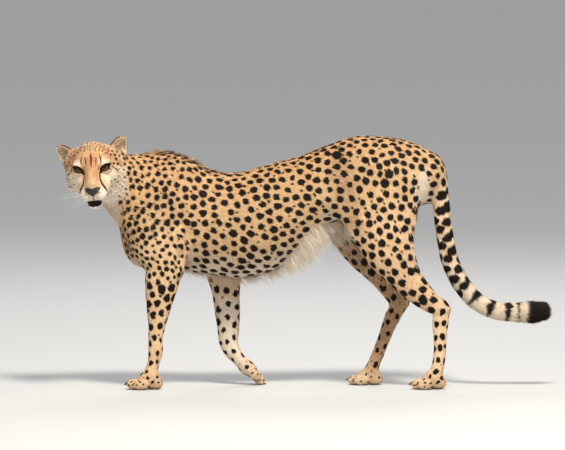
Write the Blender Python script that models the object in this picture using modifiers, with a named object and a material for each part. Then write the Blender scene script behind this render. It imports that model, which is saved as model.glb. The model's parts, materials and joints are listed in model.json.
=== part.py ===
"""A cheetah standing with its head turned, life size, as a still museum-like model.

The animal stands on the floor z = 0 and faces -Y, with its left side towards +X and its head
turned to look out along +X. The body is one smooth form, made of tapering masses that flow
into each other, and is parted with thin cuts into head, ears, nose, neck, trunk, tail and legs.
All sizes are in metres and reach out to the tips of the coat.
"""
import math

import bmesh
import bpy
import numpy as np
from mathutils import Matrix, Vector

# ---------------------------------------------------------------- driving sizes
CUT = 0.0003            # width of the cuts between neighbouring parts
GRAIN = 0.006           # fineness of the first, even mesh of the whole body
FACETS = 4250           # triangles kept for the whole body before it is parted
MOVE_X = -0.0497        # moves the animal so that the origin is below the middle of its box
MOVE_Y = -0.0020

EYE_GAP = 0.0735        # between the centres of the eyeballs
EYE_R = 0.0168          # radius of an eyeball
HEAD_AT = (0.150, -0.6090, 0.6470)   # point midway between the eyeballs
HEAD_YAW = -3.0         # degrees from +X, towards -Y
HEAD_PITCH = -13.0      # degrees, nose down
HEAD_ROLL = 5.5         # degrees, its left side up

LEFT, RIGHT = 1.0, -1.0


# ---------------------------------------------------------------- the smooth form
def blend_min(a, b, k):
    """The lower of two distances, rounded over a width k where they meet."""
    h = np.maximum(k - np.abs(a - b), 0.0) / k
    return np.minimum(a, b) - h * h * k * 0.25


def blend_max(a, b, k):
    return -blend_min(-a, -b, k)


def smooth_rows(rows, per_span):
    """Catmull-Rom curve through rows of numbers."""
    rows = np.asarray(rows, float)
    ends = np.vstack([2 * rows[0] - rows[1], rows, 2 * rows[-1] - rows[-2]])
    out = []
    for i in range(1, len(ends) - 2):
        p0, p1, p2, p3 = ends[i - 1], ends[i], ends[i + 1], ends[i + 2]
        for t in np.arange(per_span) / per_span:
            out.append(0.5 * ((2 * p1) + (p2 - p0) * t + (2 * p0 - 5 * p1 + 4 * p2 - p3) * t * t
                              + (3 * p1 - p0 - 3 * p2 + p3) * t ** 3))
    out.append(rows[-1])
    return np.array(out)


class Run:
    """A long mass: elliptical sections along a smooth curve.

    Each row is x, y, z, half width sideways, half depth on the front or upper side and,
    if it differs, half depth on the back or under side."""

    def __init__(self, rows, k=0.02, cap=0.9, side=(1, 0, 0), per_span=6):
        rows = [tuple(r) if len(r) == 6 else tuple(r) + (r[4],) for r in rows]
        rows = smooth_rows(rows, per_span)
        self.k, self.c, self.skip = k, rows[:, :3], max(1, per_span // 5)
        self.a, self.b1, self.b2 = rows[:, 3], rows[:, 4], rows[:, 5]
        self.t = np.gradient(self.c, axis=0)
        self.t /= np.linalg.norm(self.t, axis=1)[:, None]
        side = np.tile(np.asarray(side, float), (len(rows), 1))
        self.l = side - (side * self.t).sum(1)[:, None] * self.t
        self.l /= np.linalg.norm(self.l, axis=1)[:, None]
        self.u = np.cross(self.t, self.l)
        self.cap = cap
        r = rows[:, 3:].max(1)
        self.lo = (self.c - r[:, None]).min(0)
        self.hi = (self.c + r[:, None]).max(0)

    def nearest(self, p):
        """The stretch of the curve that each point is nearest to."""
        gap = ((p * p).sum(1)[:, None] - 2 * p @ self.c.T) + (self.c * self.c).sum(1)[None]
        return gap.argmin(1)

    def distance(self, p, near=None):
        j = self.nearest(p) if near is None else near
        last = len(self.c) - 1
        i = np.clip(j - 1, 0, last - 1)
        best = None
        for first in (i, np.clip(j, 0, last - 1)):
            a, d = self.c[first], self.c[first + 1] - self.c[first]
            t = np.clip(((p - a) * d).sum(1) / (d * d).sum(1), 0, 1)
            gap = ((p - a - t[:, None] * d) ** 2).sum(1)
            if best is None:
                best, where, along = gap, first, t
            else:
                closer = gap < best
                where, along = np.where(closer, first, where), np.where(closer, t, along)
        i, t = where, along[:, None]

        def at(values):
            v = values if values.ndim == 2 else values[:, None]
            return v[i] * (1 - t) + v[i + 1] * t

        q = p - at(self.c)
        u = (q * at(self.u)).sum(1)
        r_side, r1, r2 = at(self.a)[:, 0], at(self.b1)[:, 0], at(self.b2)[:, 0]
        r_up = np.where(u > 0, r1, r2)
        past = (q * at(self.t)).sum(1)      # counts only beyond the two ends
        ends = ((i == 0) & (past < 0)) | ((i == last - 1) & (past > 0))
        parts = np.stack([(q * at(self.l)).sum(1), u, np.where(ends & ((t[:, 0] <= 0) | (t[:, 0] >= 1)), past, 0)], 1)
        radii = np.stack([r_side, r_up, np.minimum(r_side, r_up) * self.cap], 1)
        return ellipsoid_distance(parts, radii)

    def blobs(self):
        for i in range(0, len(self.c), self.skip):
            m = Matrix([[self.l[i][j], self.u[i][j], self.t[i][j]] for j in range(3)])
            b = 0.5 * (self.b1[i] + self.b2[i])
            mid = self.c[i] + self.u[i] * 0.5 * (self.b1[i] - self.b2[i])
            yield mid, m, (self.a[i], b, min(self.a[i], b) * self.cap)


class Slices:
    """The trunk: upright sections along Y, wider low down or high up as the rows say.

    Each row is y, top, bottom, height of the widest level, half width there."""

    def __init__(self, rows, k=0.02, front=0.09, back=0.05):
        self.rows = smooth_rows(rows, 10)
        self.k, self.front, self.back = k, front, back
        r = self.rows
        self.lo = np.array([-r[:, 4].max(), r[0, 0] - front, r[:, 2].min()])
        self.hi = np.array([r[:, 4].max(), r[-1, 0] + back, r[:, 1].max()])

    def nearest(self, p):
        return None

    def distance(self, p, near=None):
        r = self.rows
        y = np.clip(p[:, 1], r[0, 0], r[-1, 0])
        top, low, mid, half = (np.interp(y, r[:, 0], r[:, j]) for j in (1, 2, 3, 4))
        up = p[:, 2] - mid
        parts = np.stack([p[:, 0], up, p[:, 1] - y], 1)
        tall = np.where(up > 0, top - mid, mid - low)
        deep = np.where(p[:, 1] < r[0, 0], self.front, self.back)
        return ellipsoid_distance(parts, np.stack([half, tall, deep], 1))

    def blobs(self):
        r = self.rows
        for i, (y, top, low, mid, half) in enumerate(r):
            deep = 0.02 if 0 < i < len(r) - 1 else (self.front if i == 0 else self.back)
            yield (np.array([0, y, (top + low) / 2]), Matrix.Identity(3),
                   (half, deep, (top - low) / 2))


class Ball:
    """An ellipsoid with radii along its own turned axes."""

    def __init__(self, at, radii, k=0.02, axes=None):
        self.at, self.radii, self.k = np.asarray(at, float), np.asarray(radii, float), k
        self.axes = np.eye(3) if axes is None else np.asarray(axes, float)
        self.lo = self.at - self.radii.max()
        self.hi = self.at + self.radii.max()

    def nearest(self, p):
        return None

    def distance(self, p, near=None):
        q = (p - self.at) @ self.axes.T
        return ellipsoid_distance(q, np.broadcast_to(self.radii, q.shape))

    def blobs(self):
        yield self.at, Matrix(self.axes.T.tolist()), tuple(self.radii)


def ellipsoid_distance(q, radii):
    """About how far points are outside an ellipsoid."""
    k0 = np.sqrt(((q / radii) ** 2).sum(1))
    k1 = np.sqrt(((q / radii ** 2) ** 2).sum(1))
    return np.where(k0 < 1e-6, -radii.min(1), k0 * (k0 - 1.0) / np.maximum(k1, 1e-9))


REACH = 0.045           # a mass has no say further away than this


def who_is_near(masses, p):
    """For each mass, the points it can reach, and where along it they lie."""
    out = []
    for mass in masses:
        near = np.flatnonzero(((p > mass.lo - REACH) & (p < mass.hi + REACH)).all(1))
        if len(near):
            out.append((mass, near, mass.nearest(p[near])))
    return out


def form_distance(near_masses, p):
    """About how far points are outside all the masses together."""
    total = np.full(len(p), REACH)
    for mass, near, where in near_masses:
        d = mass.distance(p[near], where)
        if isinstance(mass, Hollow):
            total[near] = blend_max(total[near], -d, mass.k)
        else:
            total[near] = blend_min(total[near], d, mass.k)
    return total


def settle(masses, p, rounds=4, limit=0.006):
    """Moves points onto the surface of the form."""
    p = np.array(p, float)
    step = 0.0008
    for _ in range(rounds):
        near = who_is_near(masses, p)
        d = form_distance(near, p)
        g = np.stack([(form_distance(near, p + np.eye(3)[j] * step) - d) / step
                      for j in range(3)], 1)
        size = np.maximum((g * g).sum(1), 0.2)
        move = np.clip(-d / size, -limit, limit)
        p += g * move[:, None]
    return p


# ---------------------------------------------------------------- the head's own frame
def head_axes():
    """Forward, up and left of the head, as rows."""
    yaw, pitch, roll = (math.radians(v) for v in (HEAD_YAW, HEAD_PITCH, HEAD_ROLL))
    ahead = np.array([math.cos(pitch) * math.cos(yaw), math.cos(pitch) * math.sin(yaw), math.sin(pitch)])
    left = np.cross([0, 0, 1.0], ahead)
    left /= np.linalg.norm(left)
    up = np.cross(ahead, left)
    left, up = (left * math.cos(roll) + up * math.sin(roll), up * math.cos(roll) - left * math.sin(roll))
    return np.array([ahead, up, left])


HEAD = head_axes()


def on_head(f, u, l):
    return np.asarray(HEAD_AT) + np.array([f, u, l]) @ HEAD


def head_ball(f, u, l, rf, ru, rl, k=0.015, tilt=0.0, turn=0.0):
    """An ellipsoid in the head's frame. tilt leans it forward and down, turn swings it outward."""
    c, s = math.cos(math.radians(tilt)), math.sin(math.radians(tilt))
    c2, s2 = math.cos(math.radians(turn)), math.sin(math.radians(turn))
    ahead, up, left = HEAD
    ahead, up = ahead * c - up * s, up * c + ahead * s
    ahead, left = ahead * c2 + left * s2, left * c2 - ahead * s2
    return Ball(on_head(f, u, l), (rf, ru, rl), k, np.array([ahead, up, left]))


def head_run(rows, k=0.015, cap=0.9):
    """A run given in the head's frame: f, u, l, half width, half depth over and under."""
    out = []
    for row in rows:
        out.append(tuple(on_head(*row[:3])) + tuple(row[3:]))
    return Run(out, k, cap, side=HEAD[2])


def head_masses():
    out = [
        head_ball(-0.062, 0.001, 0, 0.078, 0.056, 0.064, 0.01),          # brain case
        head_ball(-0.022, 0.015, 0, 0.045, 0.036, 0.052, 0.02),          # forehead
        head_run([(0.000, 0.006, 0, 0.029, 0.028), (0.030, -0.014, 0, 0.0235, 0.026),
                  (0.056, -0.036, 0, 0.0210, 0.022)], 0.014),            # bridge of the nose
        head_ball(0.028, -0.062, 0, 0.042, 0.034, 0.032, 0.02),          # muzzle
        head_ball(0.032, -0.098, 0, 0.029, 0.0175, 0.0215, 0.010),       # chin
        head_ball(-0.022, -0.078, 0, 0.058, 0.032, 0.046, 0.02),         # lower jaw
        head_ball(-0.066, -0.048, 0, 0.064, 0.056, 0.062, 0.02),         # throat
    ]
    for side in (LEFT, RIGHT):
        out += [
            head_ball(0.044, -0.066, side * 0.0185, 0.029, 0.0215, 0.0205, 0.008),   # whisker pad
            head_ball(0.010, -0.044, side * 0.026, 0.040, 0.028, 0.024, 0.02),       # upper jaw
            head_ball(-0.034, -0.024, side * 0.048, 0.042, 0.034, 0.030, 0.018, 0, side * 12),  # cheek bone
            head_ball(-0.060, -0.044, side * 0.052, 0.040, 0.042, 0.033, 0.02),      # cheek and its hair
            head_ball(-0.070, -0.002, side * 0.049, 0.044, 0.038, 0.037, 0.02),      # temple
            head_ball(-0.004, 0.016, side * 0.036, 0.020, 0.0115, 0.021, 0.010, 12),  # brow
            Hollow(head_ball(0.021, -0.001, side * 0.038, 0.011, 0.011, 0.017), 0.010),  # hollow of the eye
        ]
    return out


def ear_cup(side):
    """Centre, axes and radii of the bowl that an ear is cut from. Its open side looks forward and out."""
    out = math.radians(30 if side > 0 else 34)
    lean = math.radians(36 if side > 0 else 52)
    ahead, up, left = HEAD[0], HEAD[1], HEAD[2] * side
    face = ahead * math.cos(out) + left * math.sin(out)
    across = left * math.cos(out) - ahead * math.sin(out)
    tall = up * math.cos(lean) + across * math.sin(lean)
    across = across * math.cos(lean) - up * math.sin(lean)
    at = on_head(-0.074, 0.028, 0.076) if side > 0 else on_head(-0.078, 0.018, -0.079)
    return at, np.array([face, tall, across]), np.array([0.0205, 0.0355, 0.0235])


class Hollow:
    """A mass that is taken away from what comes before it."""

    def __init__(self, mass, k):
        self.mass, self.k, self.lo, self.hi = mass, k, mass.lo, mass.hi

    def nearest(self, p):
        return None

    def distance(self, p, near=None):
        return self.mass.distance(p)

    def blobs(self):
        return ()


class Ear:
    """A thin cup with a rounded rim."""

    def __init__(self, side, thick=0.0075, k=0.012):
        self.at, self.axes, self.radii = ear_cup(side)
        self.thick, self.k = thick, k
        self.lo = self.at - self.radii.max()
        self.hi = self.at + self.radii.max()

    def nearest(self, p):
        return None

    def distance(self, p, near=None):
        q = (p - self.at) @ self.axes.T
        shell = np.abs(ellipsoid_distance(q, np.broadcast_to(self.radii, q.shape))) - self.thick / 2
        front = q[:, 0] - 0.004 + 0.10 * q[:, 1]
        return blend_max(shell, front, 0.006)

    def blobs(self):
        n = 150
        for i in range(n):
            h = 1 - 2 * (i + 0.5) / n
            ring, turn = math.sqrt(1 - h * h), i * 2.39996
            q = np.array([ring * math.cos(turn), h, ring * math.sin(turn)]) * self.radii
            if q[0] < 0.002:
                yield self.at + q @ self.axes, Matrix.Identity(3), (self.thick * 0.75,) * 3


# ---------------------------------------------------------------- legs and paws
TOES = ((0.040, -0.0115), (0.040, 0.0115), (0.022, -0.0270), (0.022, 0.0270))  # ahead, outward


def paw_frame(x, y, toe_out, side):
    """Where a paw stands, with its ahead, outward and up directions. It points to -Y."""
    c, s = math.cos(math.radians(toe_out)), math.sin(math.radians(toe_out))
    ahead = np.array([s * side, -c, 0.0])
    out = np.array([c, s * side, 0.0]) * side
    return np.array([x, y, 0.0]), np.array([ahead, out, [0, 0, 1.0]])


def toe_off_frame():
    """The right fore paw as it leaves the ground: bent under and pointing back, tips down."""
    down = np.array([0.0, 0.70, -0.714])
    return (np.array([-0.069, -0.154, 0.0440]),
            np.array([down, [1.0, 0, 0], np.cross(down, [1.0, 0, 0])]))


def paw(frame, size=1.0, slim=1.0, low=True):
    """Toes, pads and the low arch behind them. low sinks the pads to the floor."""
    base, axes = frame
    lift = 0.0 if low else -0.0135

    def ball(f, o, z, rf, ro, rz, k=0.008):
        return Ball(base + (np.array([f, o * slim, z + lift]) * size) @ axes,
                    np.array([rf, ro * slim, rz]) * size, k, axes)

    out = [ball(-0.004, 0, 0.030 if low else 0.0140, 0.034, 0.0265, 0.022, 0.016)]
    if low:
        out.append(ball(-0.020, 0, 0.015, 0.024, 0.0230, 0.018, 0.010))
    for f, o in TOES:
        inner = abs(o) < 0.02
        out.append(ball(f - (0 if low else 0.004), o, 0.0150 if inner else 0.0140, 0.0225 if inner else 0.0215,
                        0.0122 if inner else 0.0118, 0.0172 if inner else 0.0160, 0.005))
    return out


def claws(name, frame, size=1.0, slim=1.0, low=True):
    """The blunt claws at the ends of a paw's toes, as one mesh of leaning cones."""
    base, axes = frame
    lift = 0.0 if low else -0.0175
    way = axes[0] * 0.90 - axes[2] * 0.40
    turn = Vector((0, 0, 1)).rotation_difference(Vector([float(v) for v in way])).to_matrix().to_4x4()
    bm = bmesh.new()
    for f, o in TOES:
        at = base + (np.array([f + 0.0210 - (0 if low else 0.004), o * slim, 0.0175 + lift]) * size) @ axes
        bmesh.ops.create_cone(bm, cap_ends=True, segments=5, radius1=0.0036, radius2=0.0007, depth=0.015,
                              matrix=Matrix.Translation([float(v) for v in at]) @ turn)
    mesh = bpy.data.meshes.new(name)
    bm.to_mesh(mesh)
    bm.free()
    o = put(name, mesh, COAT, cutters)
    o.hide_render = True
    o.display_type = "WIRE"
    return o


TRUNK = [  # y, top, bottom, widest level, half width
    (-0.420, 0.676, 0.365, 0.515, 0.066),
    (-0.360, 0.669, 0.342, 0.500, 0.082),
    (-0.300, 0.646, 0.328, 0.480, 0.092),
    (-0.240, 0.629, 0.318, 0.465, 0.098),
    (-0.180, 0.628, 0.314, 0.460, 0.101),
    (-0.120, 0.645, 0.322, 0.465, 0.101),
    (-0.065, 0.660, 0.346, 0.480, 0.098),
    (-0.010, 0.674, 0.394, 0.515, 0.092),
    (0.050, 0.698, 0.448, 0.555, 0.085),
    (0.110, 0.721, 0.484, 0.595, 0.079),
    (0.165, 0.733, 0.492, 0.620, 0.080),
    (0.225, 0.732, 0.496, 0.635, 0.084),
    (0.280, 0.724, 0.512, 0.635, 0.084),
    (0.325, 0.710, 0.540, 0.630, 0.074),
    (0.362, 0.684, 0.572, 0.628, 0.054),
]

NECK = [  # x, y, z, half width, half depth above and below
    (0.000, -0.370, 0.530, 0.078, 0.130, 0.150),
    (0.004, -0.430, 0.545, 0.074, 0.124, 0.140),
    (0.022, -0.485, 0.564, 0.067, 0.102, 0.106),
    (0.050, -0.530, 0.590, 0.060, 0.080, 0.080),
    (0.085, -0.565, 0.615, 0.055, 0.062, 0.066),
]

NAPE = [
    (0.000, -0.400, 0.628, 0.056, 0.048),
    (0.008, -0.450, 0.630, 0.054, 0.046),
    (0.034, -0.505, 0.637, 0.052, 0.044),
    (0.064, -0.548, 0.650, 0.052, 0.042),
    (0.088, -0.580, 0.662, 0.054, 0.038),
]

FRINGE = [  # the long hair under the belly: y, top, tips, widest level, half width
    (-0.290, 0.420, 0.318, 0.400, 0.050),
    (-0.240, 0.420, 0.306, 0.390, 0.056),
    (-0.180, 0.420, 0.298, 0.385, 0.058),
    (-0.125, 0.430, 0.298, 0.390, 0.058),
    (-0.070, 0.440, 0.310, 0.400, 0.056),
    (-0.010, 0.470, 0.342, 0.440, 0.052),
    (0.045, 0.510, 0.402, 0.480, 0.048),
    (0.085, 0.530, 0.450, 0.510, 0.040),
]

TAIL = [
    (0.000, 0.330, 0.660, 0.034, 0.034),
    (0.000, 0.366, 0.638, 0.031, 0.030),
    (0.001, 0.389, 0.600, 0.029, 0.028),
    (0.003, 0.399, 0.550, 0.028, 0.027),
    (0.005, 0.405, 0.490, 0.0275, 0.0275),
    (0.008, 0.414, 0.425, 0.0275, 0.0275),
    (0.010, 0.428, 0.363, 0.0275, 0.0280),
    (0.012, 0.458, 0.303, 0.0275, 0.0285),
    (0.012, 0.502, 0.252, 0.0280, 0.0285),
    (0.010, 0.556, 0.2245, 0.0280, 0.0285),
    (0.008, 0.615, 0.218, 0.0290, 0.0300),
    (0.006, 0.660, 0.218, 0.0310, 0.0330),
    (0.005, 0.690, 0.2205, 0.0270, 0.0290),
]

FORE_LEFT = [
    (0.066, -0.470, 0.470, 0.042, 0.050),
    (0.076, -0.438, 0.415, 0.043, 0.060),
    (0.081, -0.405, 0.362, 0.038, 0.056, 0.050),
    (0.081, -0.407, 0.315, 0.034, 0.052, 0.051),
    (0.079, -0.412, 0.270, 0.031, 0.046, 0.042),
    (0.077, -0.418, 0.225, 0.027, 0.036, 0.034),
    (0.076, -0.422, 0.185, 0.024, 0.028, 0.026),
    (0.076, -0.427, 0.148, 0.0225, 0.023, 0.023),
    (0.076, -0.428, 0.112, 0.0240, 0.022, 0.024),
    (0.076, -0.433, 0.078, 0.0230, 0.019, 0.020),
    (0.076, -0.442, 0.046, 0.0250, 0.020, 0.020),
]

FORE_RIGHT = [
    (-0.066, -0.410, 0.455, 0.042, 0.050),
    (-0.074, -0.330, 0.405, 0.042, 0.058),
    (-0.078, -0.250, 0.360, 0.038, 0.052, 0.054),
    (-0.077, -0.228, 0.310, 0.034, 0.050, 0.048),
    (-0.075, -0.223, 0.262, 0.031, 0.042, 0.041),
    (-0.073, -0.220, 0.220, 0.028, 0.039, 0.039),
    (-0.071, -0.217, 0.182, 0.0255, 0.036, 0.035),
    (-0.070, -0.216, 0.150, 0.0240, 0.033, 0.032),
    (-0.070, -0.215, 0.124, 0.0240, 0.030, 0.028),
    (-0.069, -0.206, 0.100, 0.0240, 0.026, 0.026),
    (-0.069, -0.186, 0.073, 0.0240, 0.020, 0.021),
    (-0.069, -0.167, 0.052, 0.0255, 0.019, 0.019),
]

HIND_LEFT = [
    (0.050, 0.262, 0.620, 0.048, 0.098, 0.082),
    (0.058, 0.240, 0.545, 0.048, 0.104, 0.098),
    (0.067, 0.233, 0.475, 0.046, 0.100, 0.096),
    (0.074, 0.245, 0.420, 0.042, 0.084, 0.083),
    (0.076, 0.266, 0.375, 0.037, 0.068, 0.066),
    (0.075, 0.297, 0.325, 0.031, 0.050, 0.050),
    (0.073, 0.332, 0.282, 0.027, 0.039, 0.042),
    (0.072, 0.364, 0.253, 0.0245, 0.031, 0.036),
    (0.072, 0.392, 0.238, 0.0230, 0.026, 0.030),
]

HOCK_LEFT = [
    (0.072, 0.410, 0.232, 0.0205, 0.022, 0.019),
    (0.072, 0.400, 0.200, 0.0205, 0.027, 0.024),
    (0.072, 0.397, 0.155, 0.0195, 0.021, 0.021),
    (0.072, 0.396, 0.105, 0.0200, 0.0195, 0.0195),
    (0.072, 0.389, 0.060, 0.0235, 0.020, 0.020),
    (0.072, 0.378, 0.040, 0.0250, 0.019, 0.019),
]

HIND_RIGHT = [
    (-0.050, 0.250, 0.615, 0.048, 0.098, 0.088),
    (-0.058, 0.210, 0.545, 0.048, 0.104, 0.098),
    (-0.067, 0.176, 0.478, 0.046, 0.092, 0.092),
    (-0.074, 0.166, 0.430, 0.042, 0.078, 0.080),
    (-0.076, 0.182, 0.384, 0.037, 0.060, 0.064),
    (-0.075, 0.209, 0.344, 0.031, 0.046, 0.050),
    (-0.073, 0.238, 0.305, 0.027, 0.037, 0.041),
    (-0.072, 0.262, 0.268, 0.0245, 0.031, 0.034),
    (-0.071, 0.280, 0.240, 0.0230, 0.027, 0.028),
]

HOCK_RIGHT = [
    (-0.071, 0.289, 0.238, 0.0205, 0.022, 0.019),
    (-0.071, 0.268, 0.208, 0.0205, 0.027, 0.023),
    (-0.071, 0.249, 0.170, 0.0195, 0.022, 0.022),
    (-0.071, 0.233, 0.128, 0.0200, 0.0195, 0.0195),
    (-0.071, 0.214, 0.080, 0.0225, 0.0195, 0.0195),
    (-0.071, 0.200, 0.048, 0.0245, 0.019, 0.019),
]

PAWS = {  # frame, size, slimness, whether its pads are down on the floor
    "paw_fore_left": (paw_frame(0.077, -0.449, 4.0, LEFT), 1.00, 1.00, True),
    "paw_fore_right": (toe_off_frame(), 0.97, 0.97, False),
    "paw_hind_left": (paw_frame(0.073, 0.372, 3.0, LEFT), 0.96, 0.93, True),
    "paw_hind_right": (paw_frame(-0.071, 0.190, 3.0, RIGHT), 0.96, 0.93, True),
}


def body_masses():
    out = [
        Slices(TRUNK, 0.02, front=0.094, back=0.046),
        Run(NECK, 0.04, 0.9, per_span=20),
        Run(NAPE, 0.03, 0.8, per_span=12),
        Slices(FRINGE, 0.02, front=0.04, back=0.03),
        Ball((0.0, -0.462, 0.425), (0.058, 0.060, 0.078), 0.05),              # breast
        Ball((0.0, 0.335, 0.600), (0.070, 0.062, 0.075), 0.04),               # seat
        Run(TAIL, 0.03, 1.0),
        Run(FORE_LEFT, 0.028, 0.9), Run(FORE_RIGHT, 0.028, 0.9),
        Run(HIND_LEFT, 0.030, 0.9), Run(HIND_RIGHT, 0.030, 0.9),
        Run(HOCK_LEFT, 0.016, 1.0), Run(HOCK_RIGHT, 0.016, 1.0),
        # shoulder blades, with the muscle over them
        Run([(0.034, -0.345, 0.640, 0.020, 0.040), (0.054, -0.385, 0.585, 0.030, 0.056),
             (0.066, -0.430, 0.525, 0.036, 0.060), (0.070, -0.468, 0.470, 0.038, 0.052)], 0.03),
        Run([(-0.034, -0.330, 0.640, 0.020, 0.040), (-0.054, -0.355, 0.585, 0.030, 0.056),
             (-0.066, -0.392, 0.520, 0.036, 0.060), (-0.070, -0.425, 0.465, 0.038, 0.052)], 0.03),
        # the muscle behind each upper arm, down to the point of the elbow
        Run([(0.060, -0.345, 0.560, 0.030, 0.045), (0.076, -0.355, 0.475, 0.032, 0.052),
             (0.083, -0.372, 0.400, 0.030, 0.040), (0.083, -0.368, 0.352, 0.022, 0.022)], 0.03),
        Run([(-0.060, -0.300, 0.560, 0.030, 0.045), (-0.076, -0.275, 0.475, 0.032, 0.052),
             (-0.081, -0.232, 0.400, 0.030, 0.040), (-0.080, -0.200, 0.352, 0.020, 0.020)], 0.03),
        # fold of skin from the flank to each knee
        Run([(0.060, 0.085, 0.545, 0.020, 0.030), (0.066, 0.130, 0.500, 0.018, 0.026),
             (0.070, 0.165, 0.455, 0.020, 0.026)], 0.04),
        Run([(-0.060, 0.055, 0.530, 0.020, 0.030), (-0.066, 0.085, 0.490, 0.018, 0.026),
             (-0.070, 0.110, 0.445, 0.020, 0.026)], 0.04),
    ]
    for frame, size, slim, low in PAWS.values():
        out += paw(frame, size, slim, low)
    out += head_masses()
    out += [Ear(LEFT), Ear(RIGHT)]
    return out


# ---------------------------------------------------------------- Blender helpers
for thing in list(bpy.data.objects):
    bpy.data.objects.remove(thing, do_unlink=True)

model = bpy.data.collections.new("cheetah")
cutters = bpy.data.collections.new("cheetah_cutters")
bpy.context.scene.collection.children.link(model)
bpy.context.scene.collection.children.link(cutters)


def material(name, colour, roughness):
    m = bpy.data.materials.new(name)
    m.use_nodes = True
    shader = m.node_tree.nodes["Principled BSDF"]
    shader.inputs["Base Color"].default_value = (*colour, 1.0)
    shader.inputs["Roughness"].default_value = roughness
    shader.inputs["Metallic"].default_value = 0.0
    return m


COAT = material("coat", (0.66, 0.42, 0.20), 0.85)
NOSE = material("nose", (0.012, 0.010, 0.009), 0.45)
EYE = material("eye", (0.20, 0.075, 0.015), 0.08)


def put(name, mesh, mat, where=None):
    o = bpy.data.objects.new(name, mesh)
    (where or model).objects.link(o)
    mesh.materials.clear()
    mesh.materials.append(mat)
    return o


def evaluated(o):
    bpy.context.view_layer.update()
    deps = bpy.context.evaluated_depsgraph_get()
    return bpy.data.meshes.new_from_object(o.evaluated_get(deps))


def remove(o):
    mesh = o.data
    bpy.data.objects.remove(o, do_unlink=True)
    if mesh.users == 0:
        bpy.data.meshes.remove(mesh)


def apply_all(o):
    """Bakes an object's modifiers into its mesh."""
    mesh = evaluated(o)
    old = o.data
    o.modifiers.clear()
    o.data = mesh
    bpy.data.meshes.remove(old)


def coordinates(mesh):
    p = np.empty(len(mesh.vertices) * 3, np.float32)
    mesh.vertices.foreach_get("co", p)
    return p.reshape(-1, 3).astype(float)


def whole_body(masses):
    """All the masses as balls, melted into one even mesh and settled on the smooth form."""
    unit = bmesh.new()
    bmesh.ops.create_icosphere(unit, subdivisions=3, radius=1.0)
    unit.verts.ensure_lookup_table()
    ball = np.array([v.co[:] for v in unit.verts])
    faces = np.array([[v.index for v in f.verts] for f in unit.faces])
    unit.free()
    places, skins = [], []
    for mass in masses:
        for at, turn, radii in mass.blobs():
            turn = np.array(turn)
            skins.append((faces if np.linalg.det(turn) > 0 else faces[:, ::-1]) + len(places) * len(ball))
            swell = 0.0 if isinstance(mass, Ear) else 0.15 * mass.k
            places.append(np.asarray(at) + (ball * (np.asarray(radii) + swell)) @ turn.T)
    mesh = bpy.data.meshes.new("body")
    mesh.from_pydata(np.vstack(places).tolist(), [], np.vstack(skins).tolist())
    o = put("body", mesh, COAT)
    melt = o.modifiers.new("melt", "REMESH")
    melt.mode = "VOXEL"
    melt.voxel_size = GRAIN
    apply_all(o)
    p = settle(masses, coordinates(o.data))
    o.data.vertices.foreach_set("co", p.astype(np.float32).ravel())
    o.data.update()
    thin = o.modifiers.new("thin", "DECIMATE")
    thin.ratio = FACETS / sum(len(f.vertices) - 2 for f in o.data.polygons)
    thin.use_collapse_triangulate = True
    apply_all(o)
    return o


def box(name, at, half, axes=None, grow=0.0):
    """A cutter box with half sizes along its own axes."""
    turn = Matrix.Identity(3) if axes is None else Matrix([list(map(float, a)) for a in axes]).transposed()
    size = [h + grow for h in half]
    bm = bmesh.new()
    bmesh.ops.create_cube(bm, size=2.0, matrix=Matrix.Translation(Vector([float(v) for v in at])) @ turn.to_4x4()
                          @ Matrix.Diagonal((*size, 1.0)))
    if turn.determinant() < 0:
        bmesh.ops.reverse_faces(bm, faces=bm.faces)
    mesh = bpy.data.meshes.new(name)
    bm.to_mesh(mesh)
    bm.free()
    o = put(name, mesh, COAT, cutters)
    o.hide_render = True
    o.display_type = "WIRE"
    return o


def combine(o, tool, operation):
    cut = o.modifiers.new("cut", "BOOLEAN")
    cut.operation = operation
    cut.object = tool
    apply_all(o)


def part_off(body, name, at, half, axes=None, mat=None):
    """Parts a node from the body: what is inside the box becomes the node, and the body keeps the rest."""
    piece = put(name, body.data.copy(), mat or COAT)
    tool = box(name + "_cutter", at, half, axes)
    combine(piece, tool, "INTERSECT")
    remove(tool)
    tool = box(name + "_cutter", at, half, axes, grow=CUT)
    combine(body, tool, "DIFFERENCE")
    remove(tool)
    return piece


def span(x0, x1, y0, y1, z0, z1):
    """Middle and half sizes of an upright box."""
    return (((x0 + x1) / 2, (y0 + y1) / 2, (z0 + z1) / 2), ((x1 - x0) / 2, (y1 - y0) / 2, (z1 - z0) / 2))


def slanted(x0, x1, y, z, degrees, length, width, shift=0.0):
    """A box below a slanted cut through (y, z). At 0 degrees the box hangs straight down from it."""
    s, c = math.sin(math.radians(degrees)), math.cos(math.radians(degrees))
    down = np.array([0.0, s, -c])
    over = np.array([0.0, c, s])
    at = np.array([(x0 + x1) / 2, y, z]) + down * length / 2 + over * shift
    return at, ((x1 - x0) / 2, width / 2, length / 2), np.array([[1.0, 0, 0], over, -down])


def beyond(at, ahead, half):
    """A box whose near face is a cut square to a direction."""
    ahead = Vector(ahead).normalized()
    side = Vector((0, 0, 1)).cross(ahead).normalized()
    axes = np.array([ahead, side, ahead.cross(side)])
    return np.asarray(at) + axes[0] * half[0], half, axes


# ---------------------------------------------------------------- the animal
masses = body_masses()
body = whole_body(masses)

# the floor's level cuts small flats under the paws
floor = box("floor_cutter", (0.0, 0.0, -0.1), (1.0, 1.0, 0.1))
combine(body, floor, "DIFFERENCE")
remove(floor)

nodes = {}


def node(name, *spec, mat=None):
    nodes[name] = part_off(body, name, *spec, mat=mat)


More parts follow.
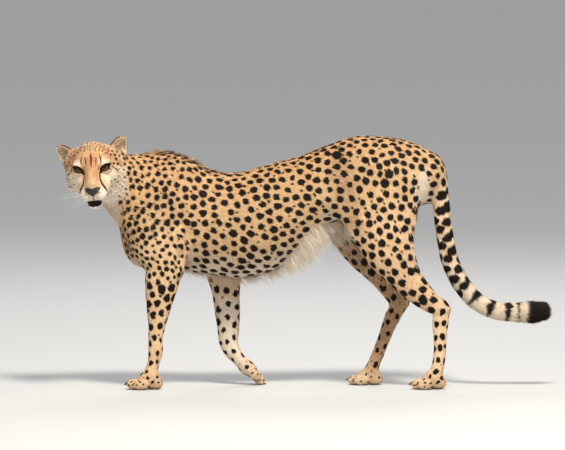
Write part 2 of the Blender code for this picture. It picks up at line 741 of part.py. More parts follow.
# feet and lower legs
node("paw_fore_left", *span(0.02, 0.14, -0.56, -0.36, -0.01, 0.100))
node("leg_fore_left_lower", *span(0.030, 0.16, -0.52, -0.333, 0.09, 0.335))
node("paw_fore_right", *slanted(-0.14, -0.02, -0.204, 0.093, 40, 0.16, 0.20))
node("leg_fore_right_lower", *span(-0.16, -0.015, -0.31, -0.13, 0.02, 0.290))
node("paw_hind_left", *span(0.02, 0.14, 0.26, 0.46, -0.01, 0.085))
node("leg_hind_left_lower", *slanted(0.030, 0.17, 0.288, 0.340, 42, 0.36, 0.215, -0.035))
node("paw_hind_right", *span(-0.14, -0.02, 0.08, 0.29, -0.01, 0.080))
node("leg_hind_right_lower", *slanted(-0.17, -0.030, 0.196, 0.362, 42, 0.38, 0.30, -0.060))
# upper legs
node("leg_fore_left_upper", *slanted(0.058, 0.20, -0.345, 0.622, -14, 0.36, 0.200))
node("leg_fore_right_upper", *slanted(-0.20, -0.058, -0.300, 0.622, -2, 0.40, 0.215))
node("leg_hind_left_upper", *slanted(0.046, 0.20, 0.240, 0.590, 4, 0.40, 0.250))
node("leg_hind_right_upper", *slanted(-0.20, -0.046, 0.205, 0.590, -8, 0.40, 0.250))
# ears, nose, head, neck
for side, name in ((LEFT, "ear_left"), (RIGHT, "ear_right")):
    at, axes, radii = ear_cup(side)
    node(name, at + axes[1] * 0.052, (0.05, 0.040, 0.05), axes)
node("nose", on_head(0.098, -0.048, 0), (0.030, 0.0150, 0.022), HEAD, mat=NOSE)
node("head", *beyond((0.066, -0.552, 0.612), (0.60, -0.68, 0.34), (0.15, 0.16, 0.16)))
node("neck", *beyond((0.010, -0.462, 0.565), (0.62, -0.72, 0.32), (0.15, 0.16, 0.20)))
# tail in four lengths, then the trunk in three
node("tail_4", *span(-0.1, 0.1, 0.585, 0.80, 0.1, 0.35))
node("tail_3", *span(-0.1, 0.1, 0.42, 0.60, 0.1, 0.320))
node("tail_2", *span(-0.1, 0.1, 0.36, 0.60, 0.2, 0.478))
node("tail_1", *slanted(-0.1, 0.1, 0.405, 0.620, 38, 0.35, 0.14))
node("rump", *span(-0.2, 0.2, 0.120, 0.55, 0.2, 0.9))
node("abdomen", *span(-0.2, 0.2, -0.150, 0.30, 0.1, 0.9))
nodes["chest"] = body
body.name = "chest"

# claws grow from the paws
for name, (frame, size, slim, low) in PAWS.items():
    cones = claws(name + "_claws", frame, size, slim, low)
    combine(nodes[name], cones, "UNION")
    remove(cones)

# eyeballs, each in its own socket
for side, name in ((LEFT, "eye_left"), (RIGHT, "eye_right")):
    at = Vector([float(v) for v in on_head(0.0, 0.0, side * EYE_GAP / 2)])
    for radius, kind in ((EYE_R + CUT, "socket"), (EYE_R, "eye")):
        bm = bmesh.new()
        bmesh.ops.create_uvsphere(bm, u_segments=14, v_segments=9, radius=radius, matrix=Matrix.Translation(at))
        mesh = bpy.data.meshes.new(name)
        bm.to_mesh(mesh)
        bm.free()
        o = put(name if kind == "eye" else name + "_socket", mesh, EYE, model if kind == "eye" else cutters)
        if kind == "socket":
            o.hide_render = True
            o.display_type = "WIRE"
            combine(nodes["head"], o, "DIFFERENCE")
            remove(o)
        else:
            nodes[name] = o

root = bpy.data.objects.new("cheetah_root", None)
model.objects.link(root)
root.location = (MOVE_X, MOVE_Y, 0.0)
for o in nodes.values():
    o.parent = root
    if not o.name.startswith("eye"):
        o.data.shade_flat()
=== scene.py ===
"""The looks of the cheetah: one skin over the whole body, its markings, eyes, nose, claws,
whiskers and a coat of solid tufts that follow the lie of the hair.

The form below is the same as in part.py (same masses, same sizes, in metres). The skin lies
inside it by the depth of the coat. Everything is made before it is moved by MOVE, as there.
"""
import json
import math
import time

import bpy
import bmesh
import numpy as np
from mathutils import Matrix, Vector
from mathutils.kdtree import KDTree

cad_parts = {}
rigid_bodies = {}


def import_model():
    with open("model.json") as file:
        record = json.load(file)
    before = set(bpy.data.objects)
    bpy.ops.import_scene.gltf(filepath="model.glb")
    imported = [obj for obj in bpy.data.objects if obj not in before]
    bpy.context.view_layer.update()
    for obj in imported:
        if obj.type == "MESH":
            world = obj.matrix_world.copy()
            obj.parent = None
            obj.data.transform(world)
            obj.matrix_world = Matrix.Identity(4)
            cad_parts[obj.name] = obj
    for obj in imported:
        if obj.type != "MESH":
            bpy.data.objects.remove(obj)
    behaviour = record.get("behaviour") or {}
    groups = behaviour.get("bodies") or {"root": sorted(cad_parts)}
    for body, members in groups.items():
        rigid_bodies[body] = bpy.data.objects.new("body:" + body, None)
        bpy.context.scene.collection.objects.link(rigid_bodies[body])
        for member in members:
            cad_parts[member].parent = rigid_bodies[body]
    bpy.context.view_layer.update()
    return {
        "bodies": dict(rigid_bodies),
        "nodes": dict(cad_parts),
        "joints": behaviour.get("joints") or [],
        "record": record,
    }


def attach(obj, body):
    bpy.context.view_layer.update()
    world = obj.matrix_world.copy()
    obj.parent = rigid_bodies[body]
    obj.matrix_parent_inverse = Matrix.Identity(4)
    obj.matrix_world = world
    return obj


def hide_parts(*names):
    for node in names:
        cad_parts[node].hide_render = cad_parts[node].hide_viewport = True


began = time.time()
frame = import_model()


def clock(what):
    print("%6.1f s  %s" % (time.time() - began, what))


# ---------------------------------------------------------------- camera, floor and light
scene = bpy.context.scene
MOVE = np.array([-0.0497, -0.0020, 0.0])


def camera():
    rise = math.radians(4.5)
    aim = Vector((0.0 + MOVE[0], -0.0594 + MOVE[1], 0.4710))
    away = Vector((math.cos(rise), 0.0, math.sin(rise)))
    lens, far = 879.1, 40.0
    data = bpy.data.cameras.new("camera")
    data.lens, data.sensor_width = lens, 36.0
    data.clip_start, data.clip_end = 0.1, 200.0
    cam = bpy.data.objects.new("camera", data)
    cam.location = aim + away * far
    cam.rotation_mode = "QUATERNION"
    cam.rotation_quaternion = (-away).to_track_quat("-Z", "Y")
    scene.collection.objects.link(cam)
    scene.camera = cam


def area_light(name, at, aim, size, power, colour=(1, 1, 1)):
    data = bpy.data.lights.new(name, "AREA")
    data.shape, data.size, data.energy, data.color = "DISK", size, power, colour
    o = bpy.data.objects.new(name, data)
    o.location = at
    o.rotation_mode = "QUATERNION"
    o.rotation_quaternion = (Vector(aim) - Vector(at)).to_track_quat("-Z", "Y")
    scene.collection.objects.link(o)


def studio():
    world = bpy.data.worlds.new("world")
    world.use_nodes = True
    world.node_tree.nodes["Background"].inputs["Color"].default_value = (0.93, 0.95, 1.0, 1)
    world.node_tree.nodes["Background"].inputs["Strength"].default_value = 0.60
    scene.world = world
    area_light("key", (2.9, 0.7, 5.0), (0, -0.05, 0.40), 1.3, 372, (1.0, 0.965, 0.90))
    area_light("back", (-3.5, 0.5, 3.2), (0, 0, 0.45), 2.4, 60, (0.97, 0.98, 1.0))
    bm = bmesh.new()
    bmesh.ops.create_circle(bm, cap_ends=True, segments=96, radius=70.0)
    mesh = bpy.data.meshes.new("floor")
    bm.to_mesh(mesh)
    bm.free()
    o = bpy.data.objects.new("floor", mesh)
    m = bpy.data.materials.new("floor_pale")
    m.use_nodes = True
    shader = m.node_tree.nodes["Principled BSDF"]
    shader.inputs["Base Color"].default_value = (0.56, 0.55, 0.53, 1)
    shader.inputs["Roughness"].default_value = 0.9
    mesh.materials.append(m)
    scene.collection.objects.link(o)
    scene.view_settings.view_transform = "Standard"


camera()
studio()

# ---------------------------------------------------------------- driving sizes
EYE_GAP = 0.0735        # between the centres of the eyeballs
EYE_R = 0.0168          # radius of an eyeball
HEAD_AT = (0.150, -0.6090, 0.6470)   # point midway between the eyeballs
HEAD_YAW = -3.0         # degrees from +X, towards -Y
HEAD_PITCH = -13.0      # degrees, nose down
HEAD_ROLL = 5.5         # degrees, its left side up

LEFT, RIGHT = 1.0, -1.0


# ---------------------------------------------------------------- the smooth form
def blend_min(a, b, k):
    """The lower of two distances, rounded over a width k where they meet."""
    h = np.maximum(k - np.abs(a - b), 0.0) / k
    return np.minimum(a, b) - h * h * k * 0.25


def blend_max(a, b, k):
    return -blend_min(-a, -b, k)


def smooth_rows(rows, per_span):
    """Catmull-Rom curve through rows of numbers."""
    rows = np.asarray(rows, float)
    ends = np.vstack([2 * rows[0] - rows[1], rows, 2 * rows[-1] - rows[-2]])
    out = []
    for i in range(1, len(ends) - 2):
        p0, p1, p2, p3 = ends[i - 1], ends[i], ends[i + 1], ends[i + 2]
        for t in np.arange(per_span) / per_span:
            out.append(0.5 * ((2 * p1) + (p2 - p0) * t + (2 * p0 - 5 * p1 + 4 * p2 - p3) * t * t
                              + (3 * p1 - p0 - 3 * p2 + p3) * t ** 3))
    out.append(rows[-1])
    return np.array(out)


class Run:
    """A long mass: elliptical sections along a smooth curve.

    Each row is x, y, z, half width sideways, half depth on the front or upper side and,
    if it differs, half depth on the back or under side."""

    def __init__(self, rows, k=0.02, cap=0.9, side=(1, 0, 0), per_span=6):
        rows = [tuple(r) if len(r) == 6 else tuple(r) + (r[4],) for r in rows]
        rows = smooth_rows(rows, per_span)
        self.k, self.c, self.skip = k, rows[:, :3], max(1, per_span // 5)
        self.a, self.b1, self.b2 = rows[:, 3], rows[:, 4], rows[:, 5]
        self.t = np.gradient(self.c, axis=0)
        self.t /= np.linalg.norm(self.t, axis=1)[:, None]
        side = np.tile(np.asarray(side, float), (len(rows), 1))
        self.l = side - (side * self.t).sum(1)[:, None] * self.t
        self.l /= np.linalg.norm(self.l, axis=1)[:, None]
        self.u = np.cross(self.t, self.l)
        self.cap = cap
        r = rows[:, 3:].max(1)
        self.lo = (self.c - r[:, None]).min(0)
        self.hi = (self.c + r[:, None]).max(0)

    def nearest(self, p):
        """The stretch of the curve that each point is nearest to."""
        gap = ((p * p).sum(1)[:, None] - 2 * p @ self.c.T) + (self.c * self.c).sum(1)[None]
        return gap.argmin(1)

    def distance(self, p, near=None):
        j = self.nearest(p) if near is None else near
        last = len(self.c) - 1
        i = np.clip(j - 1, 0, last - 1)
        best = None
        for first in (i, np.clip(j, 0, last - 1)):
            a, d = self.c[first], self.c[first + 1] - self.c[first]
            t = np.clip(((p - a) * d).sum(1) / (d * d).sum(1), 0, 1)
            gap = ((p - a - t[:, None] * d) ** 2).sum(1)
            if best is None:
                best, where, along = gap, first, t
            else:
                closer = gap < best
                where, along = np.where(closer, first, where), np.where(closer, t, along)
        i, t = where, along[:, None]

        def at(values):
            v = values if values.ndim == 2 else values[:, None]
            return v[i] * (1 - t) + v[i + 1] * t

        q = p - at(self.c)
        u = (q * at(self.u)).sum(1)
        r_side, r1, r2 = at(self.a)[:, 0], at(self.b1)[:, 0], at(self.b2)[:, 0]
        r_up = np.where(u > 0, r1, r2)
        past = (q * at(self.t)).sum(1)      # counts only beyond the two ends
        ends = ((i == 0) & (past < 0)) | ((i == last - 1) & (past > 0))
        parts = np.stack([(q * at(self.l)).sum(1), u, np.where(ends & ((t[:, 0] <= 0) | (t[:, 0] >= 1)), past, 0)], 1)
        radii = np.stack([r_side, r_up, np.minimum(r_side, r_up) * self.cap], 1)
        return ellipsoid_distance(parts, radii)

    def blobs(self):
        for i in range(0, len(self.c), self.skip):
            m = Matrix([[self.l[i][j], self.u[i][j], self.t[i][j]] for j in range(3)])
            b = 0.5 * (self.b1[i] + self.b2[i])
            mid = self.c[i] + self.u[i] * 0.5 * (self.b1[i] - self.b2[i])
            yield mid, m, (self.a[i], b, min(self.a[i], b) * self.cap)


class Slices:
    """The trunk: upright sections along Y, wider low down or high up as the rows say.

    Each row is y, top, bottom, height of the widest level, half width there."""

    def __init__(self, rows, k=0.02, front=0.09, back=0.05):
        self.rows = smooth_rows(rows, 10)
        self.k, self.front, self.back = k, front, back
        r = self.rows
        self.lo = np.array([-r[:, 4].max(), r[0, 0] - front, r[:, 2].min()])
        self.hi = np.array([r[:, 4].max(), r[-1, 0] + back, r[:, 1].max()])

    def nearest(self, p):
        return None

    def distance(self, p, near=None):
        r = self.rows
        y = np.clip(p[:, 1], r[0, 0], r[-1, 0])
        top, low, mid, half = (np.interp(y, r[:, 0], r[:, j]) for j in (1, 2, 3, 4))
        up = p[:, 2] - mid
        parts = np.stack([p[:, 0], up, p[:, 1] - y], 1)
        tall = np.where(up > 0, top - mid, mid - low)
        deep = np.where(p[:, 1] < r[0, 0], self.front, self.back)
        return ellipsoid_distance(parts, np.stack([half, tall, deep], 1))

    def blobs(self):
        r = self.rows
        for i, (y, top, low, mid, half) in enumerate(r):
            deep = 0.02 if 0 < i < len(r) - 1 else (self.front if i == 0 else self.back)
            yield (np.array([0, y, (top + low) / 2]), Matrix.Identity(3),
                   (half, deep, (top - low) / 2))


class Ball:
    """An ellipsoid with radii along its own turned axes."""

    def __init__(self, at, radii, k=0.02, axes=None):
        self.at, self.radii, self.k = np.asarray(at, float), np.asarray(radii, float), k
        self.axes = np.eye(3) if axes is None else np.asarray(axes, float)
        self.lo = self.at - self.radii.max()
        self.hi = self.at + self.radii.max()

    def nearest(self, p):
        return None

    def distance(self, p, near=None):
        q = (p - self.at) @ self.axes.T
        return ellipsoid_distance(q, np.broadcast_to(self.radii, q.shape))

    def blobs(self):
        yield self.at, Matrix(self.axes.T.tolist()), tuple(self.radii)


def ellipsoid_distance(q, radii):
    """About how far points are outside an ellipsoid."""
    k0 = np.sqrt(((q / radii) ** 2).sum(1))
    k1 = np.sqrt(((q / radii ** 2) ** 2).sum(1))
    return np.where(k0 < 1e-6, -radii.min(1), k0 * (k0 - 1.0) / np.maximum(k1, 1e-9))


REACH = 0.045           # a mass has no say further away than this


def who_is_near(masses, p):
    """For each mass, the points it can reach, and where along it they lie."""
    out = []
    for mass in masses:
        near = np.flatnonzero(((p > mass.lo - REACH) & (p < mass.hi + REACH)).all(1))
        if len(near):
            out.append((mass, near, mass.nearest(p[near])))
    return out


def form_distance(near_masses, p):
    """About how far points are outside all the masses together."""
    total = np.full(len(p), REACH)
    for mass, near, where in near_masses:
        d = mass.distance(p[near], where)
        if isinstance(mass, Hollow):
            total[near] = blend_max(total[near], -d, mass.k)
        else:
            total[near] = blend_min(total[near], d, mass.k)
    return total


def settle(masses, p, rounds=4, limit=0.006, depth=0.0, step=0.0008):
    """Moves points onto the surface that lies a depth inside the form."""
    p = np.array(p, float)
    for _ in range(rounds):
        near = who_is_near(masses, p)
        d = form_distance(near, p)
        g = np.stack([(form_distance(near, p + np.eye(3)[j] * step) - d) / step
                      for j in range(3)], 1)
        size = np.maximum((g * g).sum(1), 0.2)
        move = np.clip(-(d + depth) / size, -limit, limit)
        p += g * move[:, None]
    return p


# ---------------------------------------------------------------- the head's own frame
def head_axes():
    """Forward, up and left of the head, as rows."""
    yaw, pitch, roll = (math.radians(v) for v in (HEAD_YAW, HEAD_PITCH, HEAD_ROLL))
    ahead = np.array([math.cos(pitch) * math.cos(yaw), math.cos(pitch) * math.sin(yaw), math.sin(pitch)])
    left = np.cross([0, 0, 1.0], ahead)
    left /= np.linalg.norm(left)
    up = np.cross(ahead, left)
    left, up = (left * math.cos(roll) + up * math.sin(roll), up * math.cos(roll) - left * math.sin(roll))
    return np.array([ahead, up, left])


HEAD = head_axes()


def on_head(f, u, l):
    return np.asarray(HEAD_AT) + np.array([f, u, l]) @ HEAD


def head_ball(f, u, l, rf, ru, rl, k=0.015, tilt=0.0, turn=0.0):
    """An ellipsoid in the head's frame. tilt leans it forward and down, turn swings it outward."""
    c, s = math.cos(math.radians(tilt)), math.sin(math.radians(tilt))
    c2, s2 = math.cos(math.radians(turn)), math.sin(math.radians(turn))
    ahead, up, left = HEAD
    ahead, up = ahead * c - up * s, up * c + ahead * s
    ahead, left = ahead * c2 + left * s2, left * c2 - ahead * s2
    return Ball(on_head(f, u, l), (rf, ru, rl), k, np.array([ahead, up, left]))


def head_run(rows, k=0.015, cap=0.9):
    """A run given in the head's frame: f, u, l, half width, half depth over and under."""
    out = []
    for row in rows:
        out.append(tuple(on_head(*row[:3])) + tuple(row[3:]))
    return Run(out, k, cap, side=HEAD[2])


def head_masses():
    out = [
        head_ball(-0.062, 0.001, 0, 0.078, 0.056, 0.064, 0.01),          # brain case
        head_ball(-0.022, 0.015, 0, 0.045, 0.036, 0.052, 0.02),          # forehead
        head_run([(0.000, 0.006, 0, 0.029, 0.028), (0.030, -0.014, 0, 0.0235, 0.026),
                  (0.056, -0.036, 0, 0.0210, 0.022)], 0.014),            # bridge of the nose
        head_ball(0.028, -0.062, 0, 0.042, 0.034, 0.032, 0.02),          # muzzle
        head_ball(0.032, -0.098, 0, 0.029, 0.0175, 0.0215, 0.010),       # chin
        head_ball(-0.022, -0.078, 0, 0.058, 0.032, 0.046, 0.02),         # lower jaw
        head_ball(-0.066, -0.048, 0, 0.064, 0.056, 0.062, 0.02),         # throat
    ]
    for side in (LEFT, RIGHT):
        out += [
            head_ball(0.044, -0.066, side * 0.0185, 0.029, 0.0215, 0.0205, 0.008),   # whisker pad
            head_ball(0.010, -0.044, side * 0.026, 0.040, 0.028, 0.024, 0.02),       # upper jaw
            head_ball(-0.034, -0.024, side * 0.048, 0.042, 0.034, 0.030, 0.018, 0, side * 12),  # cheek bone
            head_ball(-0.060, -0.044, side * 0.052, 0.040, 0.042, 0.033, 0.02),      # cheek and its hair
            head_ball(-0.070, -0.002, side * 0.049, 0.044, 0.038, 0.037, 0.02),      # temple
            head_ball(-0.004, 0.016, side * 0.036, 0.020, 0.0115, 0.021, 0.010, 12),  # brow
            Hollow(head_ball(0.021, -0.001, side * 0.038, 0.011, 0.011, 0.017), 0.010),  # hollow of the eye
        ]
    return out


def ear_cup(side):
    """Centre, axes and radii of the bowl that an ear is cut from. Its open side looks forward and out."""
    out = math.radians(30 if side > 0 else 34)
    lean = math.radians(36 if side > 0 else 52)
    ahead, up, left = HEAD[0], HEAD[1], HEAD[2] * side
    face = ahead * math.cos(out) + left * math.sin(out)
    across = left * math.cos(out) - ahead * math.sin(out)
    tall = up * math.cos(lean) + across * math.sin(lean)
    across = across * math.cos(lean) - up * math.sin(lean)
    at = on_head(-0.074, 0.028, 0.076) if side > 0 else on_head(-0.078, 0.018, -0.079)
    return at, np.array([face, tall, across]), np.array([0.0205, 0.0355, 0.0235])


class Hollow:
    """A mass that is taken away from what comes before it."""

    def __init__(self, mass, k):
        self.mass, self.k, self.lo, self.hi = mass, k, mass.lo, mass.hi

    def nearest(self, p):
        return None

    def distance(self, p, near=None):
        return self.mass.distance(p)

    def blobs(self):
        return ()


class Ear:
    """A thin cup with a rounded rim."""

    def __init__(self, side, thick=0.0075, k=0.012):
        self.at, self.axes, self.radii = ear_cup(side)
        self.thick, self.k = thick, k
        self.lo = self.at - self.radii.max()
        self.hi = self.at + self.radii.max()

    def nearest(self, p):
        return None

    def distance(self, p, near=None):
        q = (p - self.at) @ self.axes.T
        shell = np.abs(ellipsoid_distance(q, np.broadcast_to(self.radii, q.shape))) - self.thick / 2
        front = q[:, 0] - 0.004 + 0.10 * q[:, 1]
        return blend_max(shell, front, 0.006)

    def blobs(self):
        n = 150
        for i in range(n):
            h = 1 - 2 * (i + 0.5) / n
            ring, turn = math.sqrt(1 - h * h), i * 2.39996
            q = np.array([ring * math.cos(turn), h, ring * math.sin(turn)]) * self.radii
            if q[0] < 0.002:
                yield self.at + q @ self.axes, Matrix.Identity(3), (self.thick * 0.75,) * 3


# ---------------------------------------------------------------- legs and paws
TOES = ((0.040, -0.0115), (0.040, 0.0115), (0.022, -0.0270), (0.022, 0.0270))  # ahead, outward


def paw_frame(x, y, toe_out, side):
    """Where a paw stands, with its ahead, outward and up directions. It points to -Y."""
    c, s = math.cos(math.radians(toe_out)), math.sin(math.radians(toe_out))
    ahead = np.array([s * side, -c, 0.0])
    out = np.array([c, s * side, 0.0]) * side
    return np.array([x, y, 0.0]), np.array([ahead, out, [0, 0, 1.0]])


def toe_off_frame():
    """The right fore paw as it leaves the ground: bent under and pointing back, tips down."""
    down = np.array([0.0, 0.70, -0.714])
    return (np.array([-0.069, -0.154, 0.0440]),
            np.array([down, [1.0, 0, 0], np.cross(down, [1.0, 0, 0])]))


def paw(frame, size=1.0, slim=1.0, low=True):
    """Toes, pads and the low arch behind them. low sinks the pads to the floor."""
    base, axes = frame
    lift = 0.0 if low else -0.0135

    def ball(f, o, z, rf, ro, rz, k=0.008):
        return Ball(base + (np.array([f, o * slim, z + lift]) * size) @ axes,
                    np.array([rf, ro * slim, rz]) * size, k, axes)

    out = [ball(-0.004, 0, 0.030 if low else 0.0140, 0.034, 0.0265, 0.022, 0.016)]
    if low:
        out.append(ball(-0.020, 0, 0.015, 0.024, 0.0225, 0.0170, 0.018))
    for f, o in TOES:
        inner = abs(o) < 0.02
        out.append(ball(f - (0 if low else 0.004), o, 0.0143 if inner else 0.0134, 0.0225 if inner else 0.0215,
                        0.0122 if inner else 0.0118, 0.0158 if inner else 0.0146, 0.011))
    return out


TRUNK = [  # y, top, bottom, widest level, half width
    (-0.420, 0.676, 0.365, 0.515, 0.066),
    (-0.360, 0.669, 0.342, 0.500, 0.082),
    (-0.300, 0.646, 0.328, 0.480, 0.092),
    (-0.240, 0.629, 0.318, 0.465, 0.098),
    (-0.180, 0.628, 0.314, 0.460, 0.101),
    (-0.120, 0.645, 0.322, 0.465, 0.101),
    (-0.065, 0.660, 0.346, 0.480, 0.098),
    (-0.010, 0.674, 0.394, 0.515, 0.092),
    (0.050, 0.698, 0.448, 0.555, 0.085),
    (0.110, 0.721, 0.484, 0.595, 0.079),
    (0.165, 0.733, 0.492, 0.620, 0.080),
    (0.225, 0.732, 0.496, 0.635, 0.084),
    (0.280, 0.724, 0.512, 0.635, 0.084),
    (0.325, 0.710, 0.540, 0.630, 0.074),
    (0.362, 0.684, 0.572, 0.628, 0.054),
]

NECK = [  # x, y, z, half width, half depth above and below
    (0.000, -0.370, 0.530, 0.078, 0.130, 0.150),
    (0.004, -0.430, 0.545, 0.074, 0.124, 0.140),
    (0.022, -0.485, 0.564, 0.067, 0.102, 0.106),
    (0.050, -0.530, 0.590, 0.060, 0.080, 0.080),
    (0.085, -0.565, 0.615, 0.055, 0.062, 0.066),
]

NAPE = [
    (0.000, -0.400, 0.628, 0.056, 0.048),
    (0.008, -0.450, 0.630, 0.054, 0.046),
    (0.034, -0.505, 0.637, 0.052, 0.044),
    (0.064, -0.548, 0.650, 0.052, 0.042),
    (0.088, -0.580, 0.662, 0.054, 0.038),
]

TAIL = [
    (0.000, 0.330, 0.660, 0.034, 0.034),
    (0.000, 0.366, 0.638, 0.031, 0.030),
    (0.001, 0.389, 0.600, 0.029, 0.028),
    (0.003, 0.399, 0.550, 0.028, 0.027),
    (0.005, 0.405, 0.490, 0.0275, 0.0275),
    (0.008, 0.414, 0.425, 0.0275, 0.0275),
    (0.010, 0.428, 0.363, 0.0275, 0.0280),
    (0.012, 0.458, 0.303, 0.0275, 0.0285),
    (0.012, 0.502, 0.252, 0.0280, 0.0285),
    (0.010, 0.556, 0.2245, 0.0280, 0.0285),
    (0.008, 0.615, 0.218, 0.0290, 0.0300),
    (0.006, 0.660, 0.218, 0.0310, 0.0330),
    (0.005, 0.690, 0.2205, 0.0270, 0.0290),
]

FORE_LEFT = [
    (0.066, -0.470, 0.470, 0.042, 0.050),
    (0.076, -0.438, 0.415, 0.043, 0.060),
    (0.081, -0.405, 0.362, 0.038, 0.056, 0.050),
    (0.081, -0.407, 0.315, 0.034, 0.052, 0.051),
    (0.079, -0.412, 0.270, 0.031, 0.046, 0.042),
    (0.077, -0.418, 0.225, 0.027, 0.036, 0.034),
    (0.076, -0.422, 0.185, 0.024, 0.028, 0.026),
    (0.076, -0.427, 0.148, 0.0225, 0.023, 0.023),
    (0.076, -0.428, 0.112, 0.0240, 0.022, 0.024),
    (0.076, -0.433, 0.078, 0.0230, 0.019, 0.020),
    (0.076, -0.442, 0.046, 0.0250, 0.020, 0.020),
]

FORE_RIGHT = [
    (-0.066, -0.410, 0.455, 0.042, 0.050),
    (-0.074, -0.330, 0.405, 0.042, 0.058),
    (-0.078, -0.250, 0.360, 0.038, 0.052, 0.054),
    (-0.077, -0.228, 0.310, 0.034, 0.050, 0.048),
    (-0.075, -0.223, 0.262, 0.031, 0.042, 0.041),
    (-0.073, -0.220, 0.220, 0.028, 0.039, 0.039),
    (-0.071, -0.217, 0.182, 0.0255, 0.036, 0.035),
    (-0.070, -0.216, 0.150, 0.0240, 0.033, 0.032),
    (-0.070, -0.215, 0.124, 0.0240, 0.030, 0.028),
    (-0.069, -0.206, 0.100, 0.0240, 0.026, 0.026),
    (-0.069, -0.186, 0.073, 0.0240, 0.020, 0.021),
    (-0.069, -0.167, 0.052, 0.0255, 0.019, 0.019),
]

HIND_LEFT = [
    (0.050, 0.262, 0.620, 0.048, 0.098, 0.082),
    (0.058, 0.240, 0.545, 0.048, 0.104, 0.098),
    (0.067, 0.233, 0.475, 0.046, 0.100, 0.096),
    (0.074, 0.245, 0.420, 0.042, 0.084, 0.083),
    (0.076, 0.266, 0.375, 0.037, 0.068, 0.066),
    (0.075, 0.297, 0.325, 0.031, 0.050, 0.050),
    (0.073, 0.332, 0.282, 0.027, 0.039, 0.042),
    (0.072, 0.364, 0.253, 0.0245, 0.031, 0.036),
    (0.072, 0.392, 0.238, 0.0230, 0.026, 0.030),
]

HOCK_LEFT = [
    (0.072, 0.410, 0.232, 0.0205, 0.022, 0.019),
    (0.072, 0.400, 0.200, 0.0205, 0.027, 0.024),
    (0.072, 0.397, 0.155, 0.0195, 0.021, 0.021),
    (0.072, 0.396, 0.105, 0.0200, 0.0195, 0.0195),
    (0.072, 0.389, 0.060, 0.0235, 0.020, 0.020),
    (0.072, 0.378, 0.040, 0.0250, 0.019, 0.019),
]

HIND_RIGHT = [
    (-0.050, 0.250, 0.615, 0.048, 0.098, 0.088),
    (-0.058, 0.210, 0.545, 0.048, 0.104, 0.098),
    (-0.067, 0.176, 0.478, 0.046, 0.092, 0.092),
    (-0.074, 0.166, 0.430, 0.042, 0.078, 0.080),
    (-0.076, 0.182, 0.384, 0.037, 0.060, 0.064),
    (-0.075, 0.209, 0.344, 0.031, 0.046, 0.050),
    (-0.073, 0.238, 0.305, 0.027, 0.037, 0.041),
    (-0.072, 0.262, 0.268, 0.0245, 0.031, 0.034),
    (-0.071, 0.280, 0.240, 0.0230, 0.027, 0.028),
]

HOCK_RIGHT = [
    (-0.071, 0.289, 0.238, 0.0205, 0.022, 0.019),
    (-0.071, 0.268, 0.208, 0.0205, 0.027, 0.023),
    (-0.071, 0.249, 0.170, 0.0195, 0.022, 0.022),
    (-0.071, 0.233, 0.128, 0.0200, 0.0195, 0.0195),
    (-0.071, 0.214, 0.080, 0.0225, 0.0195, 0.0195),
    (-0.071, 0.200, 0.048, 0.0245, 0.019, 0.019),
]

PAWS = {  # frame, size, slimness, whether its pads are down on the floor
    "paw_fore_left": (paw_frame(0.077, -0.449, 4.0, LEFT), 1.00, 1.00, True),
    "paw_fore_right": (toe_off_frame(), 0.97, 0.97, False),
    "paw_hind_left": (paw_frame(0.073, 0.372, 3.0, LEFT), 0.96, 0.93, True),
    "paw_hind_right": (paw_frame(-0.071, 0.190, 3.0, RIGHT), 0.96, 0.93, True),
}


